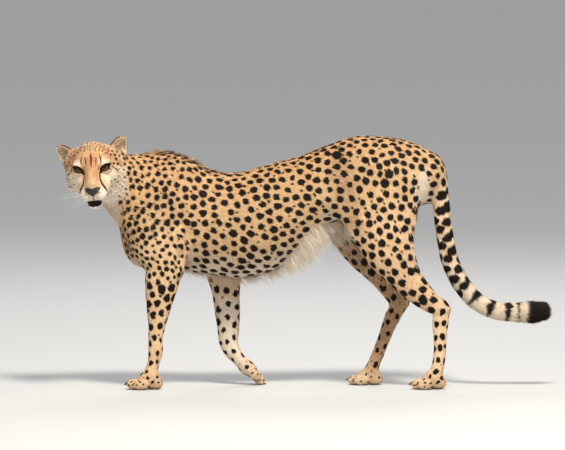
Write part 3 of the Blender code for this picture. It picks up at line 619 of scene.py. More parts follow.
def body_masses():
    """The same masses in the same order as in part.py, without the belly's long hair, each with
    the name of the region it belongs to. The last ones are finer forms that only the skin has."""
    out = [
        ("trunk", Slices(TRUNK, 0.02, front=0.094, back=0.046)),
        ("neck", Run(NECK, 0.04, 0.9, per_span=20)),
        ("neck", Run(NAPE, 0.03, 0.8, per_span=12)),
        ("neck", Ball((0.0, -0.462, 0.425), (0.058, 0.060, 0.078), 0.05)),              # breast
        ("trunk", Ball((0.0, 0.335, 0.600), (0.070, 0.062, 0.075), 0.04)),              # seat
        ("tail", Run(TAIL, 0.03, 1.0)),
        ("fore_left", Run(FORE_LEFT, 0.028, 0.9)), ("fore_right", Run(FORE_RIGHT, 0.028, 0.9)),
        ("hind_left", Run(HIND_LEFT, 0.030, 0.9)), ("hind_right", Run(HIND_RIGHT, 0.030, 0.9)),
        ("hock_left", Run(HOCK_LEFT, 0.016, 1.0)), ("hock_right", Run(HOCK_RIGHT, 0.016, 1.0)),
        # shoulder blades, with the muscle over them
        ("trunk", Run([(0.034, -0.345, 0.640, 0.020, 0.040), (0.054, -0.385, 0.585, 0.030, 0.056),
                       (0.066, -0.430, 0.525, 0.036, 0.060), (0.070, -0.468, 0.470, 0.038, 0.052)], 0.03)),
        ("trunk", Run([(-0.034, -0.330, 0.640, 0.020, 0.040), (-0.054, -0.355, 0.585, 0.030, 0.056),
                       (-0.066, -0.392, 0.520, 0.036, 0.060), (-0.070, -0.425, 0.465, 0.038, 0.052)], 0.03)),
        # the muscle behind each upper arm, down to the point of the elbow
        ("fore_left", Run([(0.060, -0.345, 0.560, 0.030, 0.045), (0.076, -0.355, 0.475, 0.032, 0.052),
                           (0.083, -0.372, 0.400, 0.030, 0.040), (0.083, -0.368, 0.352, 0.022, 0.022)], 0.03)),
        ("fore_right", Run([(-0.060, -0.300, 0.560, 0.030, 0.045), (-0.076, -0.275, 0.475, 0.032, 0.052),
                            (-0.081, -0.232, 0.400, 0.030, 0.040), (-0.080, -0.200, 0.352, 0.020, 0.020)], 0.03)),
        # fold of skin from the flank to each knee
        ("trunk", Run([(0.060, 0.085, 0.545, 0.020, 0.030), (0.066, 0.130, 0.500, 0.018, 0.026),
                       (0.070, 0.165, 0.455, 0.020, 0.026)], 0.04)),
        ("trunk", Run([(-0.060, 0.055, 0.530, 0.020, 0.030), (-0.066, 0.085, 0.490, 0.018, 0.026),
                       (-0.070, 0.110, 0.445, 0.020, 0.026)], 0.04)),
    ]
    for name, (frame, size, slim, low) in PAWS.items():
        out += [(name, mass) for mass in paw(frame, size, slim, low)]
    out += [("head", mass) for mass in head_masses()]
    out += [("ear_left", Ear(LEFT, 0.0068)), ("ear_right", Ear(RIGHT, 0.0068))]
    for part, mass in out:
        mass.part = part
    return [mass for _, mass in out]


def coordinates(mesh):
    p = np.empty(len(mesh.vertices) * 3, np.float32)
    mesh.vertices.foreach_get("co", p)
    return p.reshape(-1, 3).astype(float)


def melted(masses, grain):
    """All the masses as balls, melted into one even mesh: its points and triangles."""
    unit = bmesh.new()
    bmesh.ops.create_icosphere(unit, subdivisions=3, radius=1.0)
    unit.verts.ensure_lookup_table()
    ball = np.array([v.co[:] for v in unit.verts])
    faces = np.array([[v.index for v in f.verts] for f in unit.faces])
    unit.free()
    places, skins = [], []
    for mass in masses:
        for at, turn, radii in mass.blobs():
            turn = np.array(turn)
            skins.append((faces if np.linalg.det(turn) > 0 else faces[:, ::-1]) + len(places) * len(ball))
            swell = 0.0 if isinstance(mass, Ear) else 0.15 * mass.k
            places.append(np.asarray(at) + (ball * (np.asarray(radii) + swell)) @ turn.T)
    mesh = bpy.data.meshes.new("body")
    mesh.from_pydata(np.vstack(places).tolist(), [], np.vstack(skins).tolist())
    o = bpy.data.objects.new("body", mesh)
    scene.collection.objects.link(o)
    melt = o.modifiers.new("melt", "REMESH")
    melt.mode = "VOXEL"
    melt.voxel_size = grain
    bpy.context.view_layer.update()
    even = bpy.data.meshes.new_from_object(o.evaluated_get(bpy.context.evaluated_depsgraph_get()))
    even.calc_loop_triangles()
    p = coordinates(even)
    tri = np.empty(len(even.loop_triangles) * 3, np.int32)
    even.loop_triangles.foreach_get("vertices", tri)
    bpy.data.objects.remove(o, do_unlink=True)
    bpy.data.meshes.remove(mesh)
    bpy.data.meshes.remove(even)
    return p, tri.reshape(-1, 3)


# ---------------------------------------------------------------- small tools
def unit(v):
    return v / np.maximum(np.linalg.norm(v, axis=-1, keepdims=True), 1e-12)


def rise(x, a, b):
    """0 below a and 1 above b, with a smooth slope between (a may be above b)."""
    t = np.clip((x - a) / (b - a), 0.0, 1.0)
    return t * t * (3 - 2 * t)


def blob(q, at, radii):
    """1 in the middle of a soft patch and 0 outside it."""
    d = (((q - np.asarray(at)) / np.asarray(radii)) ** 2).sum(1)
    return np.exp(-1.2 * d)


def ripple(p, wave, seed, parts=9):
    """Smooth, seeded irregularity of about unit size, with ripples of about one wavelength."""
    r = np.random.default_rng(seed)
    d = unit(r.normal(size=(parts, 3)))
    f = 2 * np.pi / wave * r.uniform(0.65, 1.5, parts)
    return np.sin(p @ (d * f[:, None]).T + r.uniform(0, 2 * np.pi, parts)).sum(1) / math.sqrt(parts / 2)


def tone(r, g, b):
    """A display colour, 0 to 255, as linear light."""
    c = np.array([r, g, b]) / 255.0
    return np.where(c <= 0.04045, c / 12.92, ((c + 0.055) / 1.055) ** 2.4)


def normals_of(p, tri):
    n = np.cross(p[tri[:, 1]] - p[tri[:, 0]], p[tri[:, 2]] - p[tri[:, 0]])
    out = np.stack([np.bincount(tri.ravel(), np.repeat(n[:, k], 3), len(p)) for k in range(3)], 1)
    return unit(out)


def spread(values, tri, rounds, amount=0.6):
    """Evens out values over the mesh."""
    i, j = tri.ravel(), np.roll(tri, -1, 1).ravel()
    n = len(values)
    count = np.maximum(np.bincount(i, minlength=n), 1)
    v = values.reshape(n, -1).astype(float)
    for _ in range(rounds):
        mean = np.stack([np.bincount(i, v[j, k], n) / count for k in range(v.shape[1])], 1)
        v = v + amount * (mean - v)
    return v.reshape(values.shape)


def relax(p, tri, rounds=2, amount=0.5):
    """Evens out the spacing of points, sliding them along the surface."""
    for _ in range(rounds):
        n = normals_of(p, tri)
        d = spread(p, tri, 1, amount) - p
        p = p + d - n * (d * n).sum(1)[:, None]
    return p


def refine(p, tri, picked):
    """Splits edges whose two ends are picked at the middle, and the triangles to fit."""
    e = np.sort(np.concatenate([tri[:, [0, 1]], tri[:, [1, 2]], tri[:, [2, 0]]]).astype(np.int64), 1)
    key, where = np.unique(e[:, 0] * len(p) + e[:, 1], return_inverse=True)
    ends = np.stack([key // len(p), key % len(p)], 1)
    split = picked[ends].all(1)
    middle = np.full(len(key), -1)
    middle[split] = len(p) + np.arange(split.sum())
    p = np.vstack([p, p[ends[split]].mean(1)])
    m = middle[where.ravel()].reshape(3, -1).T
    n = (m >= 0).sum(1)
    out = [tri[n == 0]]
    t, q = tri[n == 3], m[n == 3]
    out += [np.stack([t[:, 0], q[:, 0], q[:, 2]], 1), np.stack([q[:, 0], t[:, 1], q[:, 1]], 1),
            np.stack([q[:, 2], q[:, 1], t[:, 2]], 1), q]
    for k in range(3):
        s = (n == 1) & (m[:, k] >= 0)
        t, q = np.roll(tri[s], -k, 1), m[s, k]
        out += [np.stack([t[:, 0], q, t[:, 2]], 1), np.stack([q, t[:, 1], t[:, 2]], 1)]
        s = (n == 2) & (m[:, k] < 0)
        t, q = np.roll(tri[s], -(k + 1), 1), np.roll(m[s], -(k + 1), 1)
        out += [np.stack([q[:, 0], t[:, 1], q[:, 1]], 1), np.stack([t[:, 0], q[:, 0], q[:, 1]], 1),
                np.stack([t[:, 0], q[:, 1], t[:, 2]], 1)]
    return p, np.concatenate(out)


# ---------------------------------------------------------------- what only the skin has
EYE_SLANT, EYE_TURN = 20.0, 6.0      # degrees: outer corner up, eye turned outward
LID_HALF, LID_TOP, LID_LOW = 0.0142, 0.0060, 0.0068
LID_ALONG, LID_OVER = 0.0040, 0.0030


def eye_frame(side):
    """Centre of an eyeball, and its ahead, over and outward directions as rows."""
    ahead, up, left = HEAD
    out = left * side
    t, a = math.radians(EYE_TURN), math.radians(EYE_SLANT)
    ahead, out = ahead * math.cos(t) + out * math.sin(t), out * math.cos(t) - ahead * math.sin(t)
    across, over = out * math.cos(a) + up * math.sin(a), up * math.cos(a) - out * math.sin(a)
    return on_head(0, 0, side * EYE_GAP / 2), np.array([ahead, over, across])


class LidGap:
    """The almond gap between the lids of an eye, down to just under the eyeball's surface."""

    def __init__(self, side):
        self.at, self.axes = eye_frame(side)
        self.lo, self.hi = self.at - 0.03, self.at + 0.03

    def edge(self, p):
        """How far points are outside the almond, seen from the front."""
        q = (p - self.at) @ self.axes.T
        s = (q[:, 2] - LID_ALONG) / LID_HALF
        bow = 1 - np.minimum(s * s, 6.0)
        over = q[:, 1] - LID_OVER - 0.0010 * s
        return np.where(q[:, 0] < 0, 0.03, np.maximum(over - LID_TOP * bow, -over - LID_LOW * bow) * 0.7)

    def distance(self, p, near=None):
        deep = EYE_R - 0.0016 - np.linalg.norm(p - self.at, axis=1)
        return blend_max(self.edge(p), deep, 0.001)


LIDS = {side: LidGap(side) for side in (LEFT, RIGHT)}
MOUTH = head_ball(0.0570, -0.0885, 0.0046, 0.0215, 0.0072, 0.0325, 0.004)


def fine_masses():
    """Lids, nose, lips and other small forms of the face, and folds of the skin."""
    out = []
    for side in (LEFT, RIGHT):
        at, axes = eye_frame(side)
        lids = Ball(at, (EYE_R + 0.0026,) * 3, 0.009, axes)
        upper = Ball(at + axes[0] * 0.0085 + axes[1] * 0.0120 + axes[2] * 0.002, (0.0085, 0.0042, 0.0175), 0.008, axes)
        lower = Ball(at + axes[0] * 0.0085 - axes[1] * 0.0095 + axes[2] * 0.002, (0.0070, 0.0032, 0.0160), 0.008, axes)
        out += [lids, upper, lower, Hollow(LIDS[side], 0.0030)]
        # wing and opening of the nostril
        out += [head_ball(0.0655, -0.0505, side * 0.0160, 0.0100, 0.0092, 0.0072, 0.005),
                Hollow(head_ball(0.0745, -0.0515, side * 0.0100, 0.0080, 0.0036, 0.0042, 0.003, 0, side * 10), 0.003),
                Hollow(head_ball(0.0690, -0.0550, side * 0.0165, 0.0080, 0.0016, 0.0052, 0.003, 0, side * 22), 0.003)]
        # line of the lips running back from the mouth's corner
        out += [Hollow(head_run([(0.046, -0.0865, side * 0.0300, 0.0012, 0.0012), (0.028, -0.0830, side * 0.0430, 0.0012, 0.0012),
                                 (0.006, -0.0790, side * 0.0500, 0.0010, 0.0010), (-0.014, -0.0740, side * 0.0540, 0.0008, 0.0008)], 0.003), 0.004)]
        # folds inside the ear's rear edge
        at, axes, radii = ear_cup(side)
        out += [Ball(at - axes[1] * 0.022 - axes[0] * 0.008, (0.010, 0.016, 0.016), 0.010, axes)]
    out += [head_ball(0.0660, -0.0475, 0, 0.0105, 0.0115, 0.0165, 0.005),                # nose leather
            Hollow(head_run([(0.0790, -0.0560, 0, 0.0009, 0.0009), (0.0765, -0.0660, 0, 0.0010, 0.0010),
                             (0.0700, -0.0800, 0, 0.0012, 0.0012)], 0.002), 0.003),       # groove of the upper lip
            Hollow(MOUTH, 0.004),
            head_ball(0.040, -0.0955, 0, 0.0225, 0.0052, 0.0205, 0.006)]                 # lower lip
    for mass in out:
        mass.part = "head"
    folds = [
        # behind the shoulder and in front of the thigh
        Hollow(Run([(0.112, -0.350, 0.505, 0.002, 0.002), (0.108, -0.356, 0.450, 0.0085, 0.0085),
                    (0.110, -0.350, 0.375, 0.003, 0.003)], 0.01), 0.030),
        Hollow(Run([(-0.112, -0.260, 0.505, 0.002, 0.002), (-0.108, -0.256, 0.450, 0.005, 0.005),
                    (-0.110, -0.250, 0.375, 0.003, 0.003)], 0.01), 0.030),
        Hollow(Run([(0.108, 0.112, 0.590, 0.002, 0.002), (0.104, 0.126, 0.530, 0.0095, 0.0095),
                    (0.112, 0.148, 0.455, 0.003, 0.003)], 0.01), 0.030),
        Hollow(Run([(-0.108, 0.080, 0.590, 0.002, 0.002), (-0.104, 0.092, 0.530, 0.005, 0.005),
                    (-0.112, 0.100, 0.455, 0.003, 0.003)], 0.01), 0.030),
    ]
    for mass in folds:
        mass.part = "trunk"
    return out + folds


# ---------------------------------------------------------------- the skin's mesh
SKIN_GRAIN = 0.0066
masses = body_masses()
REGIONS = ["trunk", "neck", "tail", "fore_left", "fore_right", "hind_left", "hind_right", "hock_left",
           "hock_right", "paw_fore_left", "paw_fore_right", "paw_hind_left", "paw_hind_right",
           "head", "ear_left", "ear_right"]
DEPTH = {"trunk": 0.0040, "neck": 0.0045, "tail": 0.0042, "head": 0.0022, "ear_left": 0.0007, "ear_right": 0.0007,
         "hock_left": 0.0022, "hock_right": 0.0022, "paw_fore_left": 0.0014, "paw_fore_right": 0.0014,
         "paw_hind_left": 0.0014, "paw_hind_right": 0.0014, "fore_left": 0.0027, "fore_right": 0.0027,
         "hind_left": 0.0034, "hind_right": 0.0034}


def region_weights(p, soft=0.007):
    """How much each point belongs to each region."""
    d = np.full((len(p), len(REGIONS)), 0.06)
    for mass, near, where in who_is_near([m for m in masses if not isinstance(m, Hollow)], p):
        k = REGIONS.index(mass.part)
        d[near, k] = np.minimum(d[near, k], mass.distance(p[near], where))
    w = np.exp(-(d - d.min(1)[:, None]) / soft)
    return w / w.sum(1)[:, None]


def head_place(p):
    """Points in the head's own frame: ahead, up, left."""
    return (p - np.asarray(HEAD_AT)) @ HEAD.T


def make_skin():
    p, tri = melted(masses, SKIN_GRAIN)
    clock("melted: %d points" % len(p))
    p = settle(masses, p, 4)
    p = relax(p, tri, 2)
    w = region_weights(p)
    fine = masses + fine_masses()
    h = head_place(p)
    on_it = w[:, 13:16].sum(1) > 0.45
    feet = w[:, 9:13].sum(1) > 0.45
    p, tri = refine(p, tri, on_it | feet)
    h = head_place(p)
    face = (h[:, 0] > -0.030) & (np.abs(h[:, 1]) < 0.125) & (np.abs(h[:, 2]) < 0.066) & (h[:, 0] < 0.1) & (h[:, 1] < 0.040)
    p, tri = refine(p, tri, face)
    h = head_place(p)
    eyes = np.zeros(len(p), bool)
    for side in (LEFT, RIGHT):
        q = h - np.array([0.010, 0.003, side * 0.0405])
        eyes |= (np.abs(q) < np.array([0.020, 0.0165, 0.0215])).all(1)
    q = h - np.array([0.062, -0.070, 0.0])
    eyes |= (np.abs(q) < np.array([0.030, 0.034, 0.027])).all(1)
    p, tri = refine(p, tri, eyes)
    clock("refined: %d points, %d triangles" % (len(p), len(tri)))
    w = region_weights(p)
    depth = w @ np.array([DEPTH[r] for r in REGIONS])
    h = head_place(p)
    near_eye = np.zeros(len(p))
    for side in (LEFT, RIGHT):
        near_eye = np.maximum(near_eye, blob(h, (0.010, 0.003, side * 0.0405), (0.020, 0.016, 0.021)))
    nose = blob(h, (0.068, -0.052, 0), (0.020, 0.016, 0.022))
    depth = depth * (1 - 0.9 * np.clip(near_eye * 1.4, 0, 1)) * (1 - 0.85 * np.clip(nose * 1.4, 0, 1))
    for rounds in (2, 1):
        p = settle(fine, p, rounds, depth=depth, step=0.0004)
        p = relax(p, tri, 2, 0.4)
    # the lids, nostrils and lips again, in small steps that keep their points evenly spaced
    zone = np.zeros(len(p), bool)
    for side in (LEFT, RIGHT):
        zone |= (np.abs(h - np.array([0.010, 0.003, side * 0.0405])) < np.array([0.024, 0.0185, 0.0235])).all(1)
    zone |= (np.abs(h - np.array([0.060, -0.072, 0.0])) < np.array([0.034, 0.040, 0.032])).all(1)
    own = zone[tri].any(1)
    names, local = np.unique(tri[own], return_inverse=True)
    local = local.reshape(-1, 3)
    edge = ~zone[names]
    q, deep = p[names], depth[names]
    for _ in range(7):
        even = relax(q, local, 3, 0.5)
        even[edge] = q[edge]
        q = settle(fine, even, 1, depth=deep, step=0.0003, limit=0.0016)
        q[edge] = p[names][edge]
    # the mouth is a smooth dark hollow
    for _ in range(3):
        inside = (MOUTH.distance(q) < 0.0022) & ~edge
        calm = spread(q, local, 6, 0.6)
        q[inside] = calm[inside]
    p[names] = q
    p[:, 2] = np.maximum(p[:, 2], 0.0004)
    clock("skin settled")
    return p, tri


skin_p, skin_tri = make_skin()
skin_n = normals_of(skin_p, skin_tri)
skin_w = region_weights(skin_p)
skin_h = head_place(skin_p)
clock("regions")


def share(*names):
    return sum(skin_w[:, REGIONS.index(n)] for n in names)


HEADISH = share("head", "ear_left", "ear_right")
EARS = share("ear_left", "ear_right")
PAWISH = share("paw_fore_left", "paw_fore_right", "paw_hind_left", "paw_hind_right")
FORES = share("fore_left", "fore_right")
HINDS = share("hind_left", "hind_right")
HOCKS = share("hock_left", "hock_right")
TAILISH, NECKISH, TRUNKISH = share("tail"), share("neck"), share("trunk")


# ---------------------------------------------------------------- how the hair lies
def run_of(part, kind=0):
    return [m for m in masses if m.part == part and isinstance(m, Run)][kind]


def lie_of_hair():
    """The direction in which the hair lies at each point of the skin."""
    p, n = skin_p, skin_n
    flow = np.zeros_like(p)

    def along(run, sign):
        j = run.nearest(p)
        return run.t[j] * sign

    trunk = np.tile([0.0, 1.0, -0.28], (len(p), 1))
    trunk[:, 2] -= 0.35 * rise(p[:, 2], 0.50, 0.36)
    flow += trunk * TRUNKISH[:, None]
    neck = along(run_of("neck"), -1.0) + np.array([0.0, 0.0, -0.35])
    flow += neck * NECKISH[:, None]
    flow += along(run_of("tail"), 1.0) * TAILISH[:, None]
    for part in ("fore_left", "fore_right", "hind_left", "hind_right", "hock_left", "hock_right"):
        back = 0.55 * rise(p[:, 2], 0.30, 0.50) if "hock" not in part else 0.0 * p[:, 2]
        v = along(run_of(part), 1.0) + np.stack([0 * back, back, 0 * back], 1)
        flow += v * share(part)[:, None]
    for part, (paw_at, size, slim, low) in PAWS.items():
        base, axes = paw_at
        flow += (axes[0] - axes[2] * 0.35) * share(part)[:, None]
    nose = np.array([0.078, -0.040, 0.0])
    v = skin_h - nose
    v[:, 0] -= 0.010
    v[:, 1] += np.where(v[:, 1] < -0.03, -0.02, 0.0)
    v = unit(v) @ HEAD
    flow += v * share("head")[:, None]
    for side, part in ((LEFT, "ear_left"), (RIGHT, "ear_right")):
        at, axes, radii = ear_cup(side)
        flow += axes[1] * share(part)[:, None]
    flow = spread(unit(flow), skin_tri, 8)
    flow -= n * (flow * n).sum(1)[:, None]
    return unit(flow)


skin_flow = lie_of_hair()
clock("lie of the hair")
# ---------------------------------------------------------------- spots and lines
def trunk_rows(y):
    """Top, bottom and half width of the trunk at a place along it."""
    r = smooth_rows(TRUNK, 10)
    return np.interp(y, r[:, 0], r[:, 1]), np.interp(y, r[:, 0], r[:, 2]), np.interp(y, r[:, 0], r[:, 4])


WHITE_EDGE = [(-0.42, 0.352), (-0.36, 0.346), (-0.30, 0.330), (-0.20, 0.318), (-0.125, 0.322), (-0.07, 0.346),
              (-0.03, 0.402), (0.00, 0.452), (0.03, 0.474), (0.08, 0.480), (0.14, 0.470)]  # y, height of the white belly's edge


def belly(p):
    """1 on the white of the belly, 0 on the flanks."""
    e = np.array(WHITE_EDGE)
    edge = np.interp(p[:, 1], e[:, 0], e[:, 1]) + 0.004 * ripple(p, 0.05, 3)
    return rise(p[:, 2], edge + 0.014, edge - 0.014) * rise(p[:, 1], 0.20, 0.14)


def tail_place(p):
    """How far along the tail each point is, in metres, and the whole length."""
    run = run_of("tail")
    steps = np.concatenate([[0], np.cumsum(np.linalg.norm(np.diff(run.c, axis=0), axis=1))])
    j = run.nearest(p)
    return steps[j] + ((p - run.c[j]) * run.t[j]).sum(1), steps[-1], run


def inner_side(p, n):
    """1 on the sides of the legs that face each other, 0 on their outsides."""
    return rise(n[:, 0] * -np.sign(p[:, 0]), 0.15, 0.75) * rise(np.abs(p[:, 0]), 0.0, 0.02)


LEGGISH = FORES + HINDS + HOCKS + PAWISH
INNER = inner_side(skin_p, skin_n) * np.clip(LEGGISH, 0, 1)
BELLY = belly(skin_p) * np.clip(1.2 * TRUNKISH + INNER * rise(skin_p[:, 1], -0.10, 0.0) * rise(skin_p[:, 2], 0.40, 0.46), 0, 1) * rise(skin_p[:, 2], 0.27, 0.30)
TAIL_S, TAIL_L, _ = tail_place(skin_p)
BARE = np.zeros(len(skin_p))        # skin with no hair: inside the lids, nose, lips, mouth, pads


def tail_reach(y, z):
    """How far along the tail a place on its middle line is."""
    run = run_of("tail")
    steps = np.concatenate([[0], np.cumsum(np.linalg.norm(np.diff(run.c, axis=0), axis=1))])
    j = ((run.c[:, 1:] - np.array([y, z])) ** 2).sum(1).argmin()
    return float(steps[j] + (np.array([y, z]) - run.c[j, 1:]) @ run.t[j, 1:])


TAIL_BANDS = [(tail_reach(0.487, 0.263), 0.0110, 0.8), (tail_reach(0.536, 0.2335), 0.0115, 0.7), (tail_reach(0.5855, 0.220), 0.0105, 0.5),
              (tail_reach(0.617, 0.2185), 0.0050, 0.3)]   # how far along, half width on top, how much narrower below
TAIL_BLACK, TAIL_WHITE = tail_reach(0.6406, 0.218), tail_reach(0.7030, 0.221)


def jowl(h):
    """1 on the pale cheeks below and behind the eyes."""
    side = np.abs(h[:, 2])
    return (rise(side, 0.032, 0.048) * rise(side, 0.096, 0.080) * rise(h[:, 1], -0.112, -0.092) * rise(h[:, 1], 0.000, -0.018)
            * rise(h[:, 0], -0.092, -0.070) * rise(h[:, 0], 0.045, 0.020))


JOWL = jowl(skin_h) * np.clip(1.5 * (share("head") + NECKISH), 0, 1)


PALE_RUMP = (rise(skin_p[:, 1], 0.328, 0.342) * rise(skin_p[:, 1], 0.368, 0.352) * rise(skin_p[:, 2], 0.535, 0.56) * rise(skin_p[:, 2], 0.645, 0.625)
             * np.clip(HINDS + TRUNKISH + 0.5 * TAILISH, 0, 1))


def spot_plan():
    """For each point of the skin: how far apart the spots are, their radius and how long they are."""
    p, n, h = skin_p, skin_n, skin_h
    top, low, half = trunk_rows(p[:, 1])
    up = np.clip((p[:, 2] - low) / (top - low), 0, 1)
    apart = np.full(len(p), 0.0288)
    size = np.full(len(p), 0.0101)
    long = np.full(len(p), 1.15)

    def lay(weight, a, s, l):
        for values, v in ((apart, a), (size, s), (long, l)):
            values += (v - values) * np.clip(weight, 0, 1)

    spine = rise(up, 0.84, 0.97) * (TRUNKISH + HINDS)
    lay(rise(up, 0.30, 0.10) * TRUNKISH * rise(p[:, 1], -0.40, -0.30), 0.0305, 0.0103, 1.30)
    lay(HINDS * rise(p[:, 2], 0.60, 0.66), 0.0270, 0.0098, 1.2)
    lay(HINDS * rise(p[:, 2], 0.62, 0.52), 0.0278, 0.0102, 1.10)
    lay((HINDS + HOCKS) * rise(p[:, 2], 0.42, 0.32), 0.0355, 0.0119, 1.12)
    lay(spine, 0.0226, 0.0084, 1.3)
    lay(rise(p[:, 1], -0.28, -0.40) * (TRUNKISH + FORES + NECKISH), 0.0226, 0.0081, 0.82)
    lay(NECKISH * rise(p[:, 1], -0.42, -0.50), 0.0218, 0.0078, 0.80)
    lay(rise(p[:, 2], 0.60, 0.66) * rise(p[:, 1], -0.30, -0.38) * (TRUNKISH + NECKISH), 0.0202, 0.0070, 1.05)
    lay(FORES * rise(p[:, 2], 0.46, 0.41), 0.0196, 0.0068, 1.25)
    lay(FORES * rise(p[:, 2], 0.335, 0.295), 0.0325, 0.0106, 1.15)
    lay(FORES * rise(p[:, 2], 0.20, 0.13), 0.0300, 0.0072, 1.3)
    lay(HOCKS, 0.0330, 0.0086, 1.3)
    lay(PAWISH, 0.0185, 0.0034, 1.2)
    lay(TAILISH * rise(TAIL_S, 0.05, 0.12), 0.0420, 0.0145, 0.85)
    # head: crown, temples and cheeks
    head = share("head")
    lay(head, 0.0138, 0.0025, 1.2)
    lay(head * rise(h[:, 1], 0.010, 0.035) * rise(h[:, 0], 0.000, -0.02), 0.0102, 0.0026, 1.10)
    lay(head * rise(h[:, 0], -0.05, -0.085), 0.0190, 0.0046, 1.3)
    lay(JOWL, 0.0125, 0.0019, 1.7)
    size *= 1 - 0.12 * INNER
    apart *= 1 + 0.15 * INNER
    # where there are none
    none = BELLY > 0.5
    none |= (EARS > 0.4)
    none |= (TAILISH > 0.4) & (TAIL_S > TAIL_BANDS[0][0] - 0.018)
    throat = (share("head") + NECKISH) * rise(n[:, 2], -0.35, -0.75)
    none |= throat > 0.5
    none |= (share("head") > 0.5) & (h[:, 0] > 0.000) & (h[:, 1] > -0.026)
    none |= (share("head") > 0.5) & (h[:, 0] > 0.012)
    none |= (share("head") > 0.5) & (h[:, 1] < -0.088)
    none |= (share("head") > 0.5) & (h[:, 1] > 0.005) & (h[:, 0] > -0.012)
    for side in (LEFT, RIGHT):
        none |= (((h - np.array([0.004, -0.018, side * 0.046])) / np.array([0.03, 0.024, 0.022])) ** 2).sum(1) < 1
    none |= (PAWISH > 0.5) & (n[:, 2] < -0.3)
    none |= PALE_RUMP > 0.5
    return np.where(none, 0.0, apart), size, long


def scatter(r, count):
    """Seeded points spread evenly by area over the skin: their triangles and weights in them."""
    t = skin_p[skin_tri]
    area = np.linalg.norm(np.cross(t[:, 1] - t[:, 0], t[:, 2] - t[:, 0]), axis=1) / 2
    k = r.choice(len(area), count, p=area / area.sum())
    return k, weights_in(r, count)


def weights_in(r, count):
    a, b = r.random(count), r.random(count)
    over = a + b > 1
    a, b = np.where(over, 1 - a, a), np.where(over, 1 - b, b)
    return np.stack([1 - a - b, a, b], 1)


def at_roots(values, k, bary):
    """Values of the skin's corners at points inside its triangles."""
    v = values[skin_tri[k]]
    return (v * (bary[:, :, None] if v.ndim == 3 else bary)).sum(1)


def tree_of(points):
    tree = KDTree(len(points))
    for i, q in enumerate(points):
        tree.insert(q, i)
    tree.balance()
    return tree


def place_spots():
    """Spots evened out as far from each other as the plan says, then smaller ones in the gaps."""
    r = np.random.default_rng(7)
    apart, size, long = spot_plan()
    k, bary = scatter(r, 320000)
    a = at_roots(apart, k, bary)
    good = (apart[skin_tri[k]] > 0).all(1)
    k, bary, a = k[good], bary[good], a[good]
    p, n = at_roots(skin_p, k, bary), unit(at_roots(skin_n, k, bary))
    q = p + n * (0.35 * a)[:, None]
    share_of = np.minimum(1.0, 0.0110 ** 2 / (a * a))
    few = np.flatnonzero(r.random(len(a)) < share_of)
    weight = 1 / (a[few] ** 2) / share_of[few]
    bins, first = {}, []
    for i in r.permutation(few):
        cell = tuple(np.floor(q[i] / 0.04).astype(int))
        near = [j for x in (-1, 0, 1) for y in (-1, 0, 1) for z in (-1, 0, 1)
                for j in bins.get((cell[0] + x, cell[1] + y, cell[2] + z), ())]
        if near and (((q[near] - q[i]) ** 2).sum(1) < (0.83 * a[i]) ** 2).any():
            continue
        bins.setdefault(cell, []).append(i)
        first.append(i)
    centres = q[first]
    count = len(first)
    for turn in range(5):
        tree = tree_of(centres)
        nearest = np.array([tree.find(v)[1] for v in q[few]])
        mass = np.bincount(nearest, weight, count)
        mean = np.stack([np.bincount(nearest, weight * q[few, c], count) for c in range(3)], 1) / np.maximum(mass, 1e-9)[:, None]
        centres = np.where(mass[:, None] > 0, mean, centres)
    home = tree_of(q)
    picks = np.array([home.find(v)[1] for v in centres])
    flow = unit(at_roots(skin_flow, k, bary))
    for turn in range(12):      # neighbours that are still close push each other away, more so along the coat
        tree = tree_of(q[picks])
        push = np.zeros((len(picks), 3))
        for i, c in enumerate(picks):
            for co, j, gap in tree.find_n(q[c], 8):
                away = q[c] - np.array(co)
                away -= flow[c] * (away @ flow[c]) * 0.12
                gap = math.sqrt(away @ away)
                if 1e-6 < gap < 1.02 * a[c]:
                    push[i] += away / gap * (1.02 * a[c] - gap) * 0.33
        picks = np.array([home.find(q[c] + w)[1] for c, w in zip(picks, push)])
    picks, kept = np.unique(picks), []
    for i in r.permutation(picks):
        if not kept or (np.linalg.norm(q[kept] - q[i], axis=1) > 0.83 * a[i]).all():
            kept.append(i)
    picks = np.array(kept)
    tree = tree_of(q[picks])
    small = []
    for i in r.permutation(few):
        if a[i] > 0.020 and len(small) < 380 and tree.find(q[i])[2] > 0.60 * a[i]:
            if all(np.linalg.norm(q[i] - q[j]) > 0.8 * a[i] for j in small):
                small.append(i)
    s, l = at_roots(size, k, bary), at_roots(long, k, bary)
    out = []
    for ids, scale in ((picks, 1.0), (np.array(small, int), 0.36)):
        for i in ids:
            jig = r.normal(size=3) * 0.22
            out.append((p[i], n[i], unit(flow[i] + jig), s[i] * scale * np.clip(r.normal(0.98, 0.08), 0.8, 1.14),
                        l[i] * (0.88 + 0.28 * r.random())))
    return out


